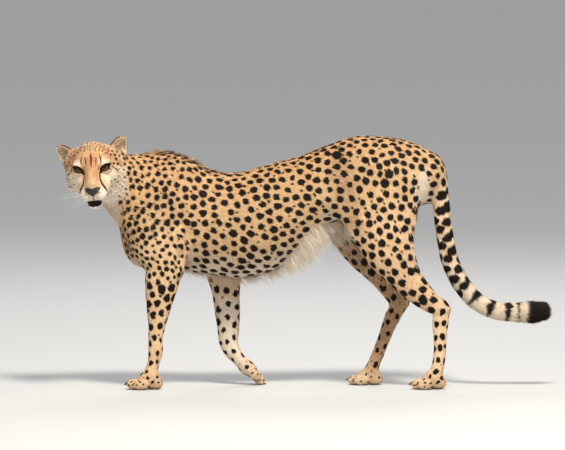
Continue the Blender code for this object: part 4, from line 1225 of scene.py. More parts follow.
def ink_of_spots(spots, p, normals, soft, far=0.010):
    """How far points are outside the nearest spot (below 0 inside one). Soft is 1 where edges wander."""
    cell = np.floor(p / 0.03).astype(int)
    key = (cell[:, 0] + 500) * 1000000 + (cell[:, 1] + 500) * 1000 + cell[:, 2] + 500
    order = np.argsort(key, kind="stable")
    names, starts = np.unique(key[order], return_index=True)
    starts = np.append(starts, len(order))
    lookup = {int(k): (starts[i], starts[i + 1]) for i, k in enumerate(names)}
    warp = np.stack([ripple(p, 0.016, s) for s in (21, 22, 23)], 1) * 0.0009 * soft[:, None]
    q_all = p + warp
    ink = np.full(len(p), far)
    for at, n, flow, radius, long in spots:
        c = np.floor(at / 0.03).astype(int)
        ids = [order[slice(*lookup[k])] for x in (-1, 0, 1) for y in (-1, 0, 1) for z in (-1, 0, 1)
               if (k := int((c[0] + x + 500) * 1000000 + (c[1] + y + 500) * 1000 + c[2] + z + 500)) in lookup]
        if not ids:
            continue
        ids = np.concatenate(ids)
        ids = ids[(normals[ids] @ n) > 0.1]
        q = q_all[ids] - at
        across = np.cross(n, flow)
        parts = np.stack([q @ flow, q @ across, 0.3 * (q @ n)], 1)
        radii = np.array([radius * math.sqrt(long), radius / math.sqrt(long), radius])
        d = ellipsoid_distance(parts, np.broadcast_to(radii, parts.shape))
        ink[ids] = np.minimum(ink[ids], d)
    return ink


def snapped(rows):
    """Points given in the head's frame, moved onto the skin."""
    p = np.array([on_head(*r[:3]) for r in rows])
    out = []
    for q in p:
        j = ((skin_p - q) ** 2).sum(1).argmin()
        out.append(skin_p[j])
    return np.array(out)


def line_ink(rows, ids):
    """How far points are outside a line drawn on the head. Rows are ahead, up, left, half width."""
    rows = smooth_rows(rows, 6)
    c = snapped(rows)
    p = skin_p[ids]
    best = np.full(len(ids), 0.05)
    for i in range(len(c) - 1):
        a, d = c[i], c[i + 1] - c[i]
        t = np.clip(((p - a) @ d) / max(d @ d, 1e-9), 0, 1)
        gap = np.linalg.norm(p - a - t[:, None] * d, axis=1) - (rows[i, 3] * (1 - t) + rows[i + 1, 3] * t)
        best = np.minimum(best, gap)
    return best


FACE_LINES = []
for s in (LEFT, RIGHT):
    FACE_LINES += [
        # tear line, from the eye's inner corner to the mouth's corner
        [(0.012, -0.001, s * 0.0285, 0.0040), (0.020, -0.007, s * 0.0262, 0.0034), (0.036, -0.014, s * 0.0255, 0.0027),
         (0.048, -0.024, s * 0.0272, 0.0027), (0.051, -0.037, s * 0.0318, 0.0030), (0.049, -0.049, s * 0.0372, 0.0029),
         (0.042, -0.062, s * 0.0398, 0.0017), (0.036, -0.078, s * 0.0372, 0.0012)],
        # from the outer corner towards the cheek
        [(0.000, 0.009, s * 0.0535, 0.0034), (-0.003, 0.003, s * 0.0590, 0.0022), (-0.004, -0.008, s * 0.0660, 0.0018),
         (-0.007, -0.018, s * 0.0715, 0.0026)],
        # brow streak over the inner corner
        [(0.002, 0.041, s * 0.0262, 0.0008), (0.011, 0.030, s * 0.0288, 0.0018), (0.018, 0.018, s * 0.0286, 0.0009)],
        [(0.009, 0.036, s * 0.0150, 0.0006), (0.018, 0.026, s * 0.0145, 0.0012), (0.027, 0.015, s * 0.0140, 0.0005)],
    ]
FACE_LINES += [[(0.004, 0.046, 0.001, 0.0010), (0.014, 0.038, 0.001, 0.0022), (0.024, 0.026, 0.001, 0.0018), (0.037, 0.012, 0.0015, 0.0007)]]

CHEEK_DOTS = [(0.008, -0.042, 0.054, 2.6), (0.002, -0.041, 0.062, 2.2), (-0.010, -0.050, 0.067, 2.9), (-0.020, -0.053, 0.076, 2.9),
              (-0.019, -0.066, 0.068, 2.2), (0.002, -0.014, 0.064, 1.6), (-0.008, -0.035, 0.073, 2.0), (-0.023, -0.048, 0.080, 1.8),
              (-0.022, -0.088, 0.057, 2.4), (0.004, -0.056, 0.051, 1.6), (-0.006, -0.059, 0.055, 1.6), (-0.028, -0.089, 0.065, 2.0),
              (-0.008, -0.016, -0.073, 2.2), (-0.022, -0.038, -0.078, 2.6), (-0.017, -0.048, -0.071, 2.4), (-0.020, -0.060, -0.070, 2.8),
              (0.002, -0.045, -0.057, 2.4), (0.008, -0.024, -0.058, 1.5), (-0.017, -0.058, -0.063, 2.2), (0.029, -0.046, -0.048, 1.5),
              (-0.030, -0.073, -0.062, 2.2), (-0.010, -0.030, -0.066, 1.8)]   # ahead, up, left, radius in mm


def face_ink():
    """Tear lines, streaks, rims of the eyes, lips, ear backs and the small dots of the cheeks."""
    ids = np.flatnonzero(HEADISH > 0.3)
    h, p, n = skin_h[ids], skin_p[ids], skin_n[ids]
    ink = np.full(len(skin_p), 0.010)
    wet = np.zeros(len(skin_p))
    best = np.full(len(ids), 0.010)
    for rows in FACE_LINES:
        best = np.minimum(best, line_ink(rows, ids))
    r = np.random.default_rng(5)
    for f, u, l, mm in CHEEK_DOTS:
        c = snapped([(f, u, l)])[0]
        best = np.minimum(best, np.linalg.norm(p - c, axis=1) - mm * 0.001)
    for side in (LEFT, RIGHT):       # fine dots in rows on the whisker pads
        for row in range(4):
            for k in range(5):
                c = snapped([(0.068 - 0.0075 * k, -0.058 - 0.0060 * row - 0.0006 * k, side * (0.013 + 0.0062 * k))])[0]
                best = np.minimum(best, np.linalg.norm(p - c, axis=1) - 0.0006 - 0.0004 * r.random())
    for s in (LEFT, RIGHT):          # streak before the ear
        best = np.minimum(best, line_ink([(-0.082, 0.020, s * 0.0810, 0.0004), (-0.070, 0.010, s * 0.0875, 0.0016),
                                          (-0.058, -0.004, s * 0.0915, 0.0015), (-0.056, -0.016, s * 0.0970, 0.0004)], ids))
    # rims of the eyes, thicker at the inner corner
    bare = np.zeros(len(ids))
    for side in (LEFT, RIGHT):
        lid = LIDS[side]
        edge = lid.edge(p)
        q = (p - lid.at) @ lid.axes.T
        s = (q[:, 2] - LID_ALONG) / LID_HALF
        rim = 0.0025 + 0.0012 * rise(s, 0.0, -1.0) + 0.0012 * rise(q[:, 1], 0.0, 0.006)
        near = np.linalg.norm(p - lid.at, axis=1) < 0.030
        best = np.where(near, np.minimum(best, edge - rim), best)
        bare = np.maximum(bare, np.where(near, rise(edge, 0.0009, 0.0001), 0))
    # lips and the inside of the mouth
    d = MOUTH.distance(p)
    lips = d - 0.0030 - 0.0005 * ripple(p, 0.012, 31)
    best = np.minimum(best, lips)
    bare = np.maximum(bare, 0.5 * rise(d, 0.0020, 0.0008))
    for side in (LEFT, RIGHT):
        best = np.minimum(best, line_ink([(0.046, -0.0865, side * 0.0290, 0.0026), (0.030, -0.0835, side * 0.0420, 0.0022),
                                          (0.010, -0.0800, side * 0.0500, 0.0016), (-0.006, -0.0765, side * 0.0530, 0.0009)], ids))
    best = np.minimum(best, line_ink([(0.078, -0.0600, 0, 0.0012), (0.0745, -0.0690, 0, 0.0008), (0.0690, -0.0790, 0, 0.0016)], ids))
    ink[ids] = best
    wet[ids] = bare
    # backs of the ears: black but for a tawny rim and root
    for side, part in ((LEFT, "ear_left"), (RIGHT, "ear_right")):
        e = np.flatnonzero(share(part) > 0.5)
        at, axes, radii = ear_cup(side)
        q = (skin_p[e] - at) @ axes.T
        back = ellipsoid_distance(q, np.broadcast_to(radii, q.shape))
        rim = 0.0055 - (q[:, 1] * 0.20 + 0.014) + np.abs(q[:, 1] - 0.004) * 0.34
        patch = np.maximum(rim + 0.0012 * ripple(skin_p[e], 0.012, 41), np.abs(q[:, 1] - 0.006) - 0.024)
        patch = np.maximum(patch, q[:, 0] + 0.002)
        ink[e] = np.minimum(ink[e], np.where(back > 0.0006, patch, 0.01))
    return ink, wet


def nose_edge(h):
    """How far points are outside the nose leather, seen from the front."""
    side = np.abs(h[:, 2])
    over = h[:, 1] + 0.0365 + 0.10 * side + 0.0016 * np.cos(side * 260)
    under = -0.0645 + 0.0195 * np.clip(side / 0.0222, 0, 1.3) ** 1.2 - h[:, 1]
    return np.maximum(np.maximum(over, under), np.maximum(side - 0.0228, 0.050 - h[:, 0]))


def tail_ink():
    p = skin_p
    ink = np.full(len(p), 0.010)
    ids = np.flatnonzero(TAILISH > 0.3)
    s = TAIL_S[ids] + 0.0022 * ripple(p[ids], 0.03, 51)
    under = rise(skin_n[ids][:, 2], 0.3, -0.8)
    best = np.full(len(ids), 0.010)
    for at, half, less in TAIL_BANDS:
        best = np.minimum(best, np.abs(s - at) - half * (1 - less * under))
    mid, half = (TAIL_BLACK + TAIL_WHITE) / 2, (TAIL_WHITE - TAIL_BLACK) / 2
    best = np.minimum(best, np.abs(s - mid) - half)
    ink[ids] = best
    return ink


print("tail length", TAIL_L)
spots = place_spots()
clock("%d spots placed" % len(spots))
SOFT_EDGE = np.clip(1 - 0.8 * HEADISH, 0, 1)
ink = ink_of_spots(spots, skin_p, skin_n, SOFT_EDGE)
face, WET = face_ink()
NOSE_EDGE = np.where(share("head") > 0.5, nose_edge(skin_h), 0.05)
LINES = np.minimum(face, tail_ink())      # all the dark but the spots
INK = np.minimum(ink, LINES)
clock("ink")


# ---------------------------------------------------------------- colour of the ground between the spots
def ground_colour():
    p, n, h = skin_p, skin_n, skin_h
    top, low, half = trunk_rows(p[:, 1])
    up = np.clip((p[:, 2] - low) / (top - low), 0, 1)
    c = np.tile(tone(220, 178, 120), (len(p), 1))

    def lay(weight, colour):
        nonlocal c
        c = c + (colour - c) * np.clip(weight, 0, 1)[:, None]

    body = np.clip(TRUNKISH + NECKISH + HINDS + FORES, 0, 1)
    lay(rise(up, 0.55, 0.95) * body, tone(217, 166, 104))
    lay(rise(up, 0.45, 0.12) * TRUNKISH, tone(214, 178, 134))
    lay(NECKISH * 0.85, tone(234, 180, 114))
    lay(FORES * rise(p[:, 2], 0.50, 0.38), tone(238, 199, 148))
    lay(HINDS * rise(p[:, 2], 0.60, 0.45), tone(236, 196, 146))
    lay(HOCKS, tone(240, 207, 162))
    lay(PAWISH, tone(224, 188, 144))
    # pale insides of the fore legs and paws, backs of the thighs, chest and throat, and painted shade on the insides
    # of the hind legs
    lay(INNER * (0.75 * FORES + 0.4 * PAWISH), tone(222, 196, 164))
    lay(INNER * 0.85 * FORES * rise(p[:, 2], 0.29, 0.24), tone(244, 230, 208))
    # painted shade: the insides of the hind legs and hocks darker brown
    lay(INNER * 0.9 * (HINDS + HOCKS), tone(168, 124, 82))
    lay(HINDS * rise(n[:, 1], 0.55, 0.95) * rise(p[:, 2], 0.64, 0.58) * 0.7, tone(246, 230, 208))
    lay(HINDS * rise(p[:, 1], 0.300, 0.335) * rise(p[:, 2], 0.52, 0.56) * rise(p[:, 2], 0.66, 0.62) * 0.7, tone(246, 230, 208))
    lay(rise(n[:, 1], -0.3, -0.9) * FORES * 0.35, tone(232, 196, 150))
    under = rise(n[:, 2], -0.25, -0.80) * np.clip(TRUNKISH + NECKISH + share("head"), 0, 1)
    lay(under * 0.9, tone(238, 224, 202))
    # painted shadow of the head: the front of the neck below the jaw darker
    lay(NECKISH * rise(n[:, 1], -0.1, -0.7) * rise(p[:, 2], 0.50, 0.54) * 0.7, tone(206, 178, 144))
    lay(BELLY, tone(236, 223, 202))
    # painted shade: the front of the belly darker
    lay(BELLY * rise(p[:, 1], -0.06, -0.16) * 0.8, tone(206, 184, 152))
    lay(PALE_RUMP * 0.8, tone(248, 234, 212))
    # shade in the folds behind the shoulder and before the thigh
    for rows, wide in (([(0, -0.352, 0.520), (0, -0.356, 0.440), (0, -0.350, 0.370)], 0.020),
                       ([(0, 0.104, 0.650), (0, 0.114, 0.600), (0, 0.128, 0.540), (0, 0.142, 0.470)], 0.034)):
        away = np.full(len(p), 1.0)
        for q, w in zip(np.array(rows)[:-1, 1:], np.array(rows)[1:, 1:]):
            t = np.clip(((p[:, 1:] - q) @ (w - q)) / ((w - q) @ (w - q)), 0, 1)
            away = np.minimum(away, np.linalg.norm(p[:, 1:] - q - t[:, None] * (w - q), axis=1))
        lay(np.exp(-(away / wide) ** 2) * 0.62 * np.clip(TRUNKISH + HINDS, 0, 1) * (1 - INNER) * (1 - BELLY), tone(160, 108, 60))
    # tail: tawny above, pale below and at its end
    lay(TAILISH, tone(238, 203, 156))
    lay(TAILISH * rise(TAIL_S, 0.02, 0.20) * 0.8, tone(242, 212, 170))
    lay(TAILISH * rise(n[:, 2], 0.2, -0.6) * 0.8 * rise(TAIL_S, 0.20, 0.34), tone(246, 236, 218))
    lay(TAILISH * rise(n[:, 1], 0.2, 0.8) * 0.35, tone(240, 216, 176))
    lay(TAILISH * rise(TAIL_S, 0.26, 0.42) * 0.8, tone(244, 228, 202))
    lay(TAILISH * rise(TAIL_S, TAIL_WHITE - 0.01, TAIL_WHITE + 0.004), tone(248, 242, 230))
    # head
    head = share("head")
    side = np.abs(h[:, 2])
    mirrored = np.stack([h[:, 0], h[:, 1], side], 1)
    lay(head, tone(210, 168, 122))
    lay(head * rise(h[:, 1], 0.015, 0.04), tone(202, 154, 98))
    lay(head * rise(h[:, 1], -0.005, -0.045) * rise(h[:, 0], 0.02, -0.02), tone(240, 222, 194))
    lay(head * rise(h[:, 1], -0.050, -0.085), tone(244, 234, 216))
    lay(head * 0.95 * blob(h, (0.020, 0.026, 0), (0.032, 0.026, 0.026)), tone(182, 108, 48))        # forehead
    lay(head * 0.90 * blob(mirrored, (0.046, -0.002, 0.012), (0.028, 0.032, 0.012)), tone(188, 122, 66))
    lay(head * 0.75 * blob(h, (0.062, -0.024, 0), (0.030, 0.020, 0.014)), tone(210, 170, 124))      # bridge
    lay(head * 0.95 * blob(mirrored, (0.014, 0.022, 0.039), (0.020, 0.009, 0.0135)), tone(246, 230, 204))   # over the eyes
    lay(JOWL * 0.80, tone(246, 232, 208))
    lay(head * np.clip(1.3 * blob(mirrored, (0.014, -0.024, 0.045), (0.026, 0.018, 0.020)), 0, 1), tone(236, 217, 186))  # under the eyes
    lay(head * np.clip(1.4 * blob(mirrored, (0.046, -0.066, 0.028), (0.040, 0.024, 0.024)), 0, 1), tone(244, 234, 216))  # whisker pads
    lay(head * 0.95 * rise(h[:, 1], -0.088, -0.098) * rise(h[:, 0], 0.0, 0.02), tone(246, 240, 228))       # chin
    lay(head * np.clip(1.3 * blob(mirrored, (-0.022, 0.030, 0.052), (0.026, 0.018, 0.016)), 0, 0.9), tone(172, 100, 44))   # brown band to the cheek
    band = np.full(len(p), 1.0)
    rows = np.array([(-0.050, 0.047, 0.030), (-0.030, 0.040, 0.042), (-0.030, 0.024, 0.057), (-0.030, 0.008, 0.071), (-0.034, -0.006, 0.080)])
    for q, w in zip(rows[:-1], rows[1:]):
        t = np.clip(((mirrored - q) @ (w - q)) / ((w - q) @ (w - q)), 0, 1)
        band = np.minimum(band, np.linalg.norm(mirrored - q - t[:, None] * (w - q), axis=1))
    lay(head * np.exp(-(band / 0.0098) ** 2), tone(172, 98, 26))
    lay(head * 0.55 * blob(mirrored, (-0.022, 0.006, 0.068), (0.014, 0.022, 0.014)), tone(184, 120, 64))
    for part, s in (("ear_left", LEFT), ("ear_right", RIGHT)):
        at, axes, radii = ear_cup(s)
        q = (p - at) @ axes.T
        inside = ellipsoid_distance(q, np.broadcast_to(radii, q.shape)) < 0.0002
        w = share(part)
        lay(w, tone(192, 126, 66))
        lay(w * inside, tone(250, 234, 206))
        lay(w * inside * rise(q[:, 0], -0.008, -0.018), tone(232, 200, 166))
    # grey pads of the feet
    lay(PAWISH * rise(n[:, 2], -0.55, -0.85), tone(70, 60, 54))
    return np.clip(c, 0, 1)


GROUND = ground_colour()
PINK = WET
clock("ground")
# ---------------------------------------------------------------- making pieces
def joined(name, p, loops, sizes, smooth=True):
    """A mesh from arrays: points, corner indices, and the number of corners of each face."""
    me = bpy.data.meshes.new(name)
    me.vertices.add(len(p))
    me.vertices.foreach_set("co", np.ascontiguousarray(p + MOVE, np.float32).ravel())
    me.loops.add(len(loops))
    me.loops.foreach_set("vertex_index", np.ascontiguousarray(loops, np.int32))
    starts = np.concatenate([[0], np.cumsum(sizes)[:-1]]).astype(np.int32)
    me.polygons.add(len(sizes))
    me.polygons.foreach_set("loop_start", starts)
    me.polygons.foreach_set("use_smooth", np.full(len(sizes), smooth))
    me.update(calc_edges=True)
    return me


def note(me, name, values, domain="POINT"):
    """Keeps a number or a colour with each point."""
    if values.ndim == 1:
        me.attributes.new(name, "FLOAT", domain).data.foreach_set("value", values.astype(np.float32))
    else:
        four = np.concatenate([values, np.ones((len(values), 1))], 1) if values.shape[1] == 3 else values
        me.attributes.new(name, "FLOAT_COLOR", domain).data.foreach_set("color", four.astype(np.float32).ravel())


def show(name, me, mat, slot, *replaced):
    o = bpy.data.objects.new(name, me)
    scene.collection.objects.link(o)
    me.materials.append(mat)
    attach(o, BODY)
    if replaced:
        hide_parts(*replaced)
    return o


BODY = sorted(frame["bodies"])[0]


class Nodes:
    """A short way to write a material's nodes."""

    def __init__(self, name):
        self.m = bpy.data.materials.new(name)
        self.m.use_nodes = True
        self.t = self.m.node_tree
        self.shader = self.t.nodes["Principled BSDF"]

    def node(self, kind, **values):
        n = self.t.nodes.new(kind)
        for k, v in values.items():
            setattr(n, k, v)
        return n

    def link(self, a, b):
        self.t.links.new(a, b)

    def put(self, n, key, v):
        if hasattr(v, "is_linked") or isinstance(v, bpy.types.NodeSocket):
            self.link(v, n.inputs[key])
        else:
            n.inputs[key].default_value = v

    def read(self, name, colour=False):
        n = self.node("ShaderNodeAttribute", attribute_type="GEOMETRY", attribute_name=name)
        return n.outputs["Color" if colour else "Fac"]

    def maths(self, kind, a, b=0.0, clamp=False):
        n = self.node("ShaderNodeMath", operation=kind, use_clamp=clamp)
        self.put(n, 0, a)
        self.put(n, 1, b)
        return n.outputs[0]

    def noise(self, scale, detail=2.0, rough=0.5, where=None, stretch=None):
        n = self.node("ShaderNodeTexNoise")
        n.inputs["Scale"].default_value = scale
        n.inputs["Detail"].default_value = detail
        n.inputs["Roughness"].default_value = rough
        if where is None:
            where = self.node("ShaderNodeTexCoord").outputs["Object"]
        if stretch:
            m = self.node("ShaderNodeMapping")
            m.inputs["Scale"].default_value = stretch
            self.link(where, m.inputs["Vector"])
            where = m.outputs["Vector"]
        self.link(where, n.inputs["Vector"])
        return n.outputs["Fac"]

    def span(self, v, a, b, c, d, smooth=True):
        n = self.node("ShaderNodeMapRange", interpolation_type="SMOOTHSTEP" if smooth else "LINEAR")
        for key, x in (("Value", v), ("From Min", a), ("From Max", b), ("To Min", c), ("To Max", d)):
            self.put(n, key, x)
        return n.outputs["Result"]

    def mix(self, fac, a, b, kind="MIX"):
        n = self.node("ShaderNodeMix", data_type="RGBA", blend_type=kind)
        self.put(n, "Factor", fac)
        for key, v in ((6, a), (7, b)):
            if isinstance(v, bpy.types.NodeSocket):
                self.link(v, n.inputs[key])
            else:
                n.inputs[key].default_value = (*v, 1.0) if len(v) == 3 else v
        return n.outputs[2]

    def bump(self, height, distance, strength=1.0, under=None):
        n = self.node("ShaderNodeBump")
        n.inputs["Distance"].default_value = distance
        n.inputs["Strength"].default_value = strength
        self.link(height, n.inputs["Height"])
        if under is not None:
            self.link(under, n.inputs["Normal"])
        return n.outputs["Normal"]


INK_BLACK = tuple(tone(20, 13, 9))


def coat_material(name, tufts):
    """The markings, the same on the skin and on the tufts, which carry the values of their roots."""
    m = Nodes(name)
    ground = m.read("ground", True)
    patchy = m.noise(34.0, 3.0)
    c = m.mix(m.span(patchy, 0.35, 0.68, 0.0, 0.16), ground, (0.55, 0.30, 0.12))
    light = m.noise(150.0, 2.0)
    c = m.mix(m.span(light, 0.40, 0.70, 0.0, 0.22), c, (0.92, 0.84, 0.72))
    ink = m.read("ink")
    if tufts:
        vary, tip = m.read("vary"), m.read("tip")
        c = m.mix(m.maths("MULTIPLY", m.span(vary, 0.0, 0.5, 0.55, 0.0, False), 1.0), c, (0.30, 0.15, 0.06), "MIX")
        c = m.mix(m.maths("MULTIPLY", m.span(vary, 0.55, 1.0, 0.0, 0.50, False), m.span(tip, 0.2, 1.0, 0.35, 1.0, False)), c, (0.95, 0.88, 0.76))
        # painted shade: each tuft darker towards its root
        c = m.mix(m.span(tip, 0.0, 0.45, 0.22, 0.0, False), c, (0.16, 0.08, 0.035))
        brown = m.mix(m.maths("MULTIPLY", m.span(tip, 0.45, 1.0, 0.0, 0.35), vary), INK_BLACK, tuple(tone(70, 44, 28)))
    else:
        fray = m.maths("MULTIPLY", m.maths("SUBTRACT", m.noise(900.0, 2.0), 0.5), 0.0016)
        ink = m.maths("ADD", ink, fray)
        c = m.mix(m.span(m.noise(700.0, 2.0), 0.35, 0.65, 0.30, 0.0), c, (0.22, 0.12, 0.06))
        brown = INK_BLACK
    halo = m.span(ink, 0.0, 0.0018, 0.28, 0.0)
    c = m.mix(halo, c, tuple(tone(120, 74, 38)))
    c = m.mix(m.span(ink, -0.0005, 0.0005, 1.0, 0.0), c, brown)
    m.link(c, m.shader.inputs["Base Color"])
    m.shader.inputs["Specular IOR Level"].default_value = 0.18
    if tufts:
        m.shader.inputs["Roughness"].default_value = 0.62
    else:
        wet = m.read("wet")
        m.link(m.span(wet, 0.0, 1.0, 0.78, 0.30, False), m.shader.inputs["Roughness"])
        lay = m.noise(420.0, 3.0, 0.6, stretch=(1.0, 0.28, 1.0))
        lay2 = m.noise(420.0, 3.0, 0.6, stretch=(1.0, 1.0, 0.28))
        legs = m.read("upright")
        height = m.mix(legs, lay, lay2)
        m.link(m.bump(height, 0.0012, 0.8), m.shader.inputs["Normal"])
    return m.m


SKIN_COAT = coat_material("coat_skin", False)
TUFT_COAT = coat_material("coat_tufts", True)


def nose_material():
    m = Nodes("nose_leather")
    pebble = m.node("ShaderNodeTexVoronoi", feature="F1")
    pebble.inputs["Scale"].default_value = 900.0
    m.link(m.node("ShaderNodeTexCoord").outputs["Object"], pebble.inputs["Vector"])
    d = pebble.outputs["Distance"]
    c = m.mix(m.span(m.noise(260.0), 0.35, 0.7, 0.0, 0.7), tuple(tone(26, 21, 20)), tuple(tone(58, 46, 42)))
    c = m.mix(m.span(d, 0.30, 0.62, 0.0, 0.6), c, tuple(tone(14, 11, 10)))
    m.link(c, m.shader.inputs["Base Color"])
    m.link(m.span(m.noise(500.0), 0.3, 0.7, 0.30, 0.50), m.shader.inputs["Roughness"])
    m.link(m.bump(m.span(d, 0.0, 0.6, 1.0, 0.0), 0.0004, 0.7), m.shader.inputs["Normal"])
    m.shader.inputs["Specular IOR Level"].default_value = 0.55
    return m.m


def claw_material():
    m = Nodes("claw_horn")
    c = m.mix(m.span(m.noise(200.0, 3.0, stretch=(1, 1, 0.3)), 0.35, 0.7, 0.0, 1.0), tuple(tone(62, 50, 42)), tuple(tone(118, 100, 82)))
    tip = m.read("tip")
    c = m.mix(m.span(tip, 0.3, 1.0, 0.0, 0.75), c, tuple(tone(34, 28, 25)))
    m.link(c, m.shader.inputs["Base Color"])
    m.link(m.span(m.noise(600.0), 0.3, 0.7, 0.28, 0.45), m.shader.inputs["Roughness"])
    m.link(m.bump(m.noise(300.0, 2.0, stretch=(1, 1, 0.2)), 0.0003, 0.5), m.shader.inputs["Normal"])
    return m.m


def eye_material():
    """Round pupil, amber iris with fibres, dark rim, painted shade under the upper lid, and the wet gloss over them
    all.
    """
    m = Nodes("eye_amber")
    ring, turn = m.read("ring"), m.read("turn", True)
    fibre = m.node("ShaderNodeTexNoise")
    fibre.inputs["Scale"].default_value = 16.0
    fibre.inputs["Detail"].default_value = 4.0
    m.link(turn, fibre.inputs["Vector"])
    f = fibre.outputs["Fac"]
    c = m.mix(m.span(ring, 14.0, 38.0, 0.0, 1.0), tuple(tone(130, 68, 16)), tuple(tone(72, 34, 8)))
    c = m.mix(m.span(f, 0.42, 0.66, 0.0, 0.60), c, tuple(tone(58, 27, 9)))
    c = m.mix(m.span(f, 0.60, 0.30, 0.0, 0.40), c, tuple(tone(152, 86, 24)))
    c = m.mix(m.span(ring, 36.0, 41.0, 0.0, 1.0), c, tuple(tone(20, 11, 7)))
    c = m.mix(m.span(ring, 44.0, 60.0, 0.0, 1.0), c, tuple(tone(34, 22, 17)))
    c = m.mix(m.span(ring, 14.5, 13.2, 0.0, 1.0), c, (0.002, 0.002, 0.002))
    # painted shade of the upper lid: iris and pupil darker towards the top
    c = m.mix(m.span(m.read("painted_lid_shade"), 0.0, 1.0, 0.0, 0.80), c, (0.006, 0.003, 0.002))
    m.link(c, m.shader.inputs["Base Color"])
    m.shader.inputs["Roughness"].default_value = 0.55
    m.shader.inputs["Specular IOR Level"].default_value = 0.0
    m.shader.inputs["Coat Weight"].default_value = 1.0
    m.shader.inputs["Coat IOR"].default_value = 1.38
    m.shader.inputs["Coat Roughness"].default_value = 0.03
    m.link(m.bump(f, 0.0002, 0.3), m.shader.inputs["Normal"])
    return m.m


def whisker_material():
    m = Nodes("whisker")
    c = m.mix(m.span(m.read("tip"), 0.0, 0.25, 0.5, 0.0), tuple(tone(246, 242, 234)), tuple(tone(120, 96, 72)))
    m.link(c, m.shader.inputs["Base Color"])
    m.shader.inputs["Roughness"].default_value = 0.4
    return m.m
# ---------------------------------------------------------------- the skin as a piece, with its map
FLESH = [n for n in frame["nodes"] if n not in ("nose", "eye_left", "eye_right")]


def skin_pieces():
    """The skin of the whole body, and the nose leather, which shares its edge."""
    is_nose = (NOSE_EDGE[skin_tri] < 0.0).all(1)
    made = []
    for name, own in (("skin", ~is_nose), ("nose_leather", is_nose)):
        used, local = np.unique(skin_tri[own], return_inverse=True)
        me = joined(name, skin_p[used], local.ravel(), np.full(own.sum(), 3))
        note(me, "ground", GROUND[used])
        note(me, "ink", INK[used])
        note(me, "wet", WET[used])
        note(me, "upright", np.clip(LEGGISH, 0, 1)[used])
        made.append(me)
    skin = show("skin", made[0], SKIN_COAT, "coat", *FLESH)
    nose = show("nose_leather", made[1], nose_material(), "nose", "nose")
    # one unwrap for both, so that roots on either have a place
    whole = joined("unwrap", skin_p, skin_tri.ravel(), np.full(len(skin_tri), 3))
    o = bpy.data.objects.new("unwrap", whole)
    scene.collection.objects.link(o)
    bpy.context.view_layer.objects.active = o
    for other in bpy.context.selected_objects:
        other.select_set(False)
    o.select_set(True)
    whole.uv_layers.new(name="OFBake")
    bpy.ops.object.mode_set(mode="EDIT")
    bpy.ops.mesh.select_all(action="SELECT")
    bpy.ops.uv.smart_project(angle_limit=math.radians(70), island_margin=0.0015)
    bpy.ops.object.mode_set(mode="OBJECT")
    uv = np.empty(len(whole.loops) * 2, np.float32)
    whole.uv_layers["OFBake"].data.foreach_get("uv", uv)
    uv = uv.reshape(-1, 3, 2).astype(float)
    bpy.data.objects.remove(o, do_unlink=True)
    bpy.data.meshes.remove(whole)
    for me, own in ((made[0], ~is_nose), (made[1], is_nose)):
        layer = me.uv_layers.new(name="OFBake")
        layer.data.foreach_set("uv", uv[own].astype(np.float32).ravel())
    return skin, nose, uv


skin_piece, nose_piece, skin_uv = skin_pieces()
clock("skin and nose made")


# ---------------------------------------------------------------- eyes
def eye_piece(side, name):
    at, axes = eye_frame(side)
    cam = np.array(scene.camera.location) - MOVE
    look = unit(unit(cam - at) * 0.85 + HEAD[0] * 0.15)
    side_way = unit(np.cross(look, HEAD[1]))
    up_way = np.cross(side_way, look)
    rings, around = 56, 64
    theta = np.concatenate([np.linspace(0, 50, 40), np.linspace(53, 180, rings - 40)])
    p, ring, turn = [], [], []
    for a in theta:
        t = math.radians(a)
        bulge = 0.0011 * max(0.0, 1 - (a / 33.0) ** 2) ** 1.5
        for k in range(around):
            w = 2 * math.pi * k / around
            d = look * math.cos(t) + (side_way * math.cos(w) + up_way * math.sin(w)) * math.sin(t)
            p.append(at + d * (EYE_R - 0.0002 + bulge))
            ring.append(a)
            turn.append((math.cos(w) * 1.6, math.sin(w) * 1.6, a * 0.02))
    p = np.array(p)
    faces = []
    for i in range(rings - 1):
        for k in range(around):
            a, b = i * around + k, i * around + (k + 1) % around
            faces.append((a, b, b + around, a + around))
    me = joined(name, p, np.array(faces).ravel()[::-1].copy(), np.full(len(faces), 4))
    bm = bmesh.new()
    bm.from_mesh(me)
    bmesh.ops.remove_doubles(bm, verts=bm.verts, dist=1e-6)
    bmesh.ops.recalc_face_normals(bm, faces=bm.faces)
    bm.to_mesh(me)
    bm.free()
    # the merged mesh works its values out again from its own points
    q = coordinates(me) - MOVE - at
    d = unit(q)
    a = np.degrees(np.arccos(np.clip(d @ look, -1, 1)))
    w = np.arctan2(d @ up_way, d @ side_way)
    note(me, "ring", a)
    note(me, "painted_lid_shade", rise(d @ axes[1], 0.02, 0.36))      # painted shade under the upper lid: the top of the eyeball darker
    note(me, "turn", np.stack([np.cos(w) * 1.6, np.sin(w) * 1.6, a * 0.02], 1))
    return show(name, me, EYE_AMBER, "eye", name.replace("_ball", ""))


EYE_AMBER = eye_material()
eye_piece(LEFT, "eye_left_ball")
eye_piece(RIGHT, "eye_right_ball")


# ---------------------------------------------------------------- claws and whiskers
def tube_rows(path, radii, sides, up=(0, 0, 1)):
    """Points and faces of a tapering tube along a path."""
    path = np.asarray(path, float)
    t = unit(np.gradient(path, axis=0))
    side = unit(np.cross(t, np.tile(np.asarray(up, float), (len(t), 1)) + 1e-4))
    over = np.cross(side, t)
    ring = 2 * np.pi * np.arange(sides) / sides
    p = (path[:, None] + radii[:, None, None] * (np.cos(ring)[None, :, None] * side[:, None]
                                                 + np.sin(ring)[None, :, None] * over[:, None])).reshape(-1, 3)
    faces = []
    for i in range(len(path) - 1):
        for k in range(sides):
            a, b = i * sides + k, i * sides + (k + 1) % sides
            faces.append((a, b, b + sides, a + sides))
    return p, np.array(faces)


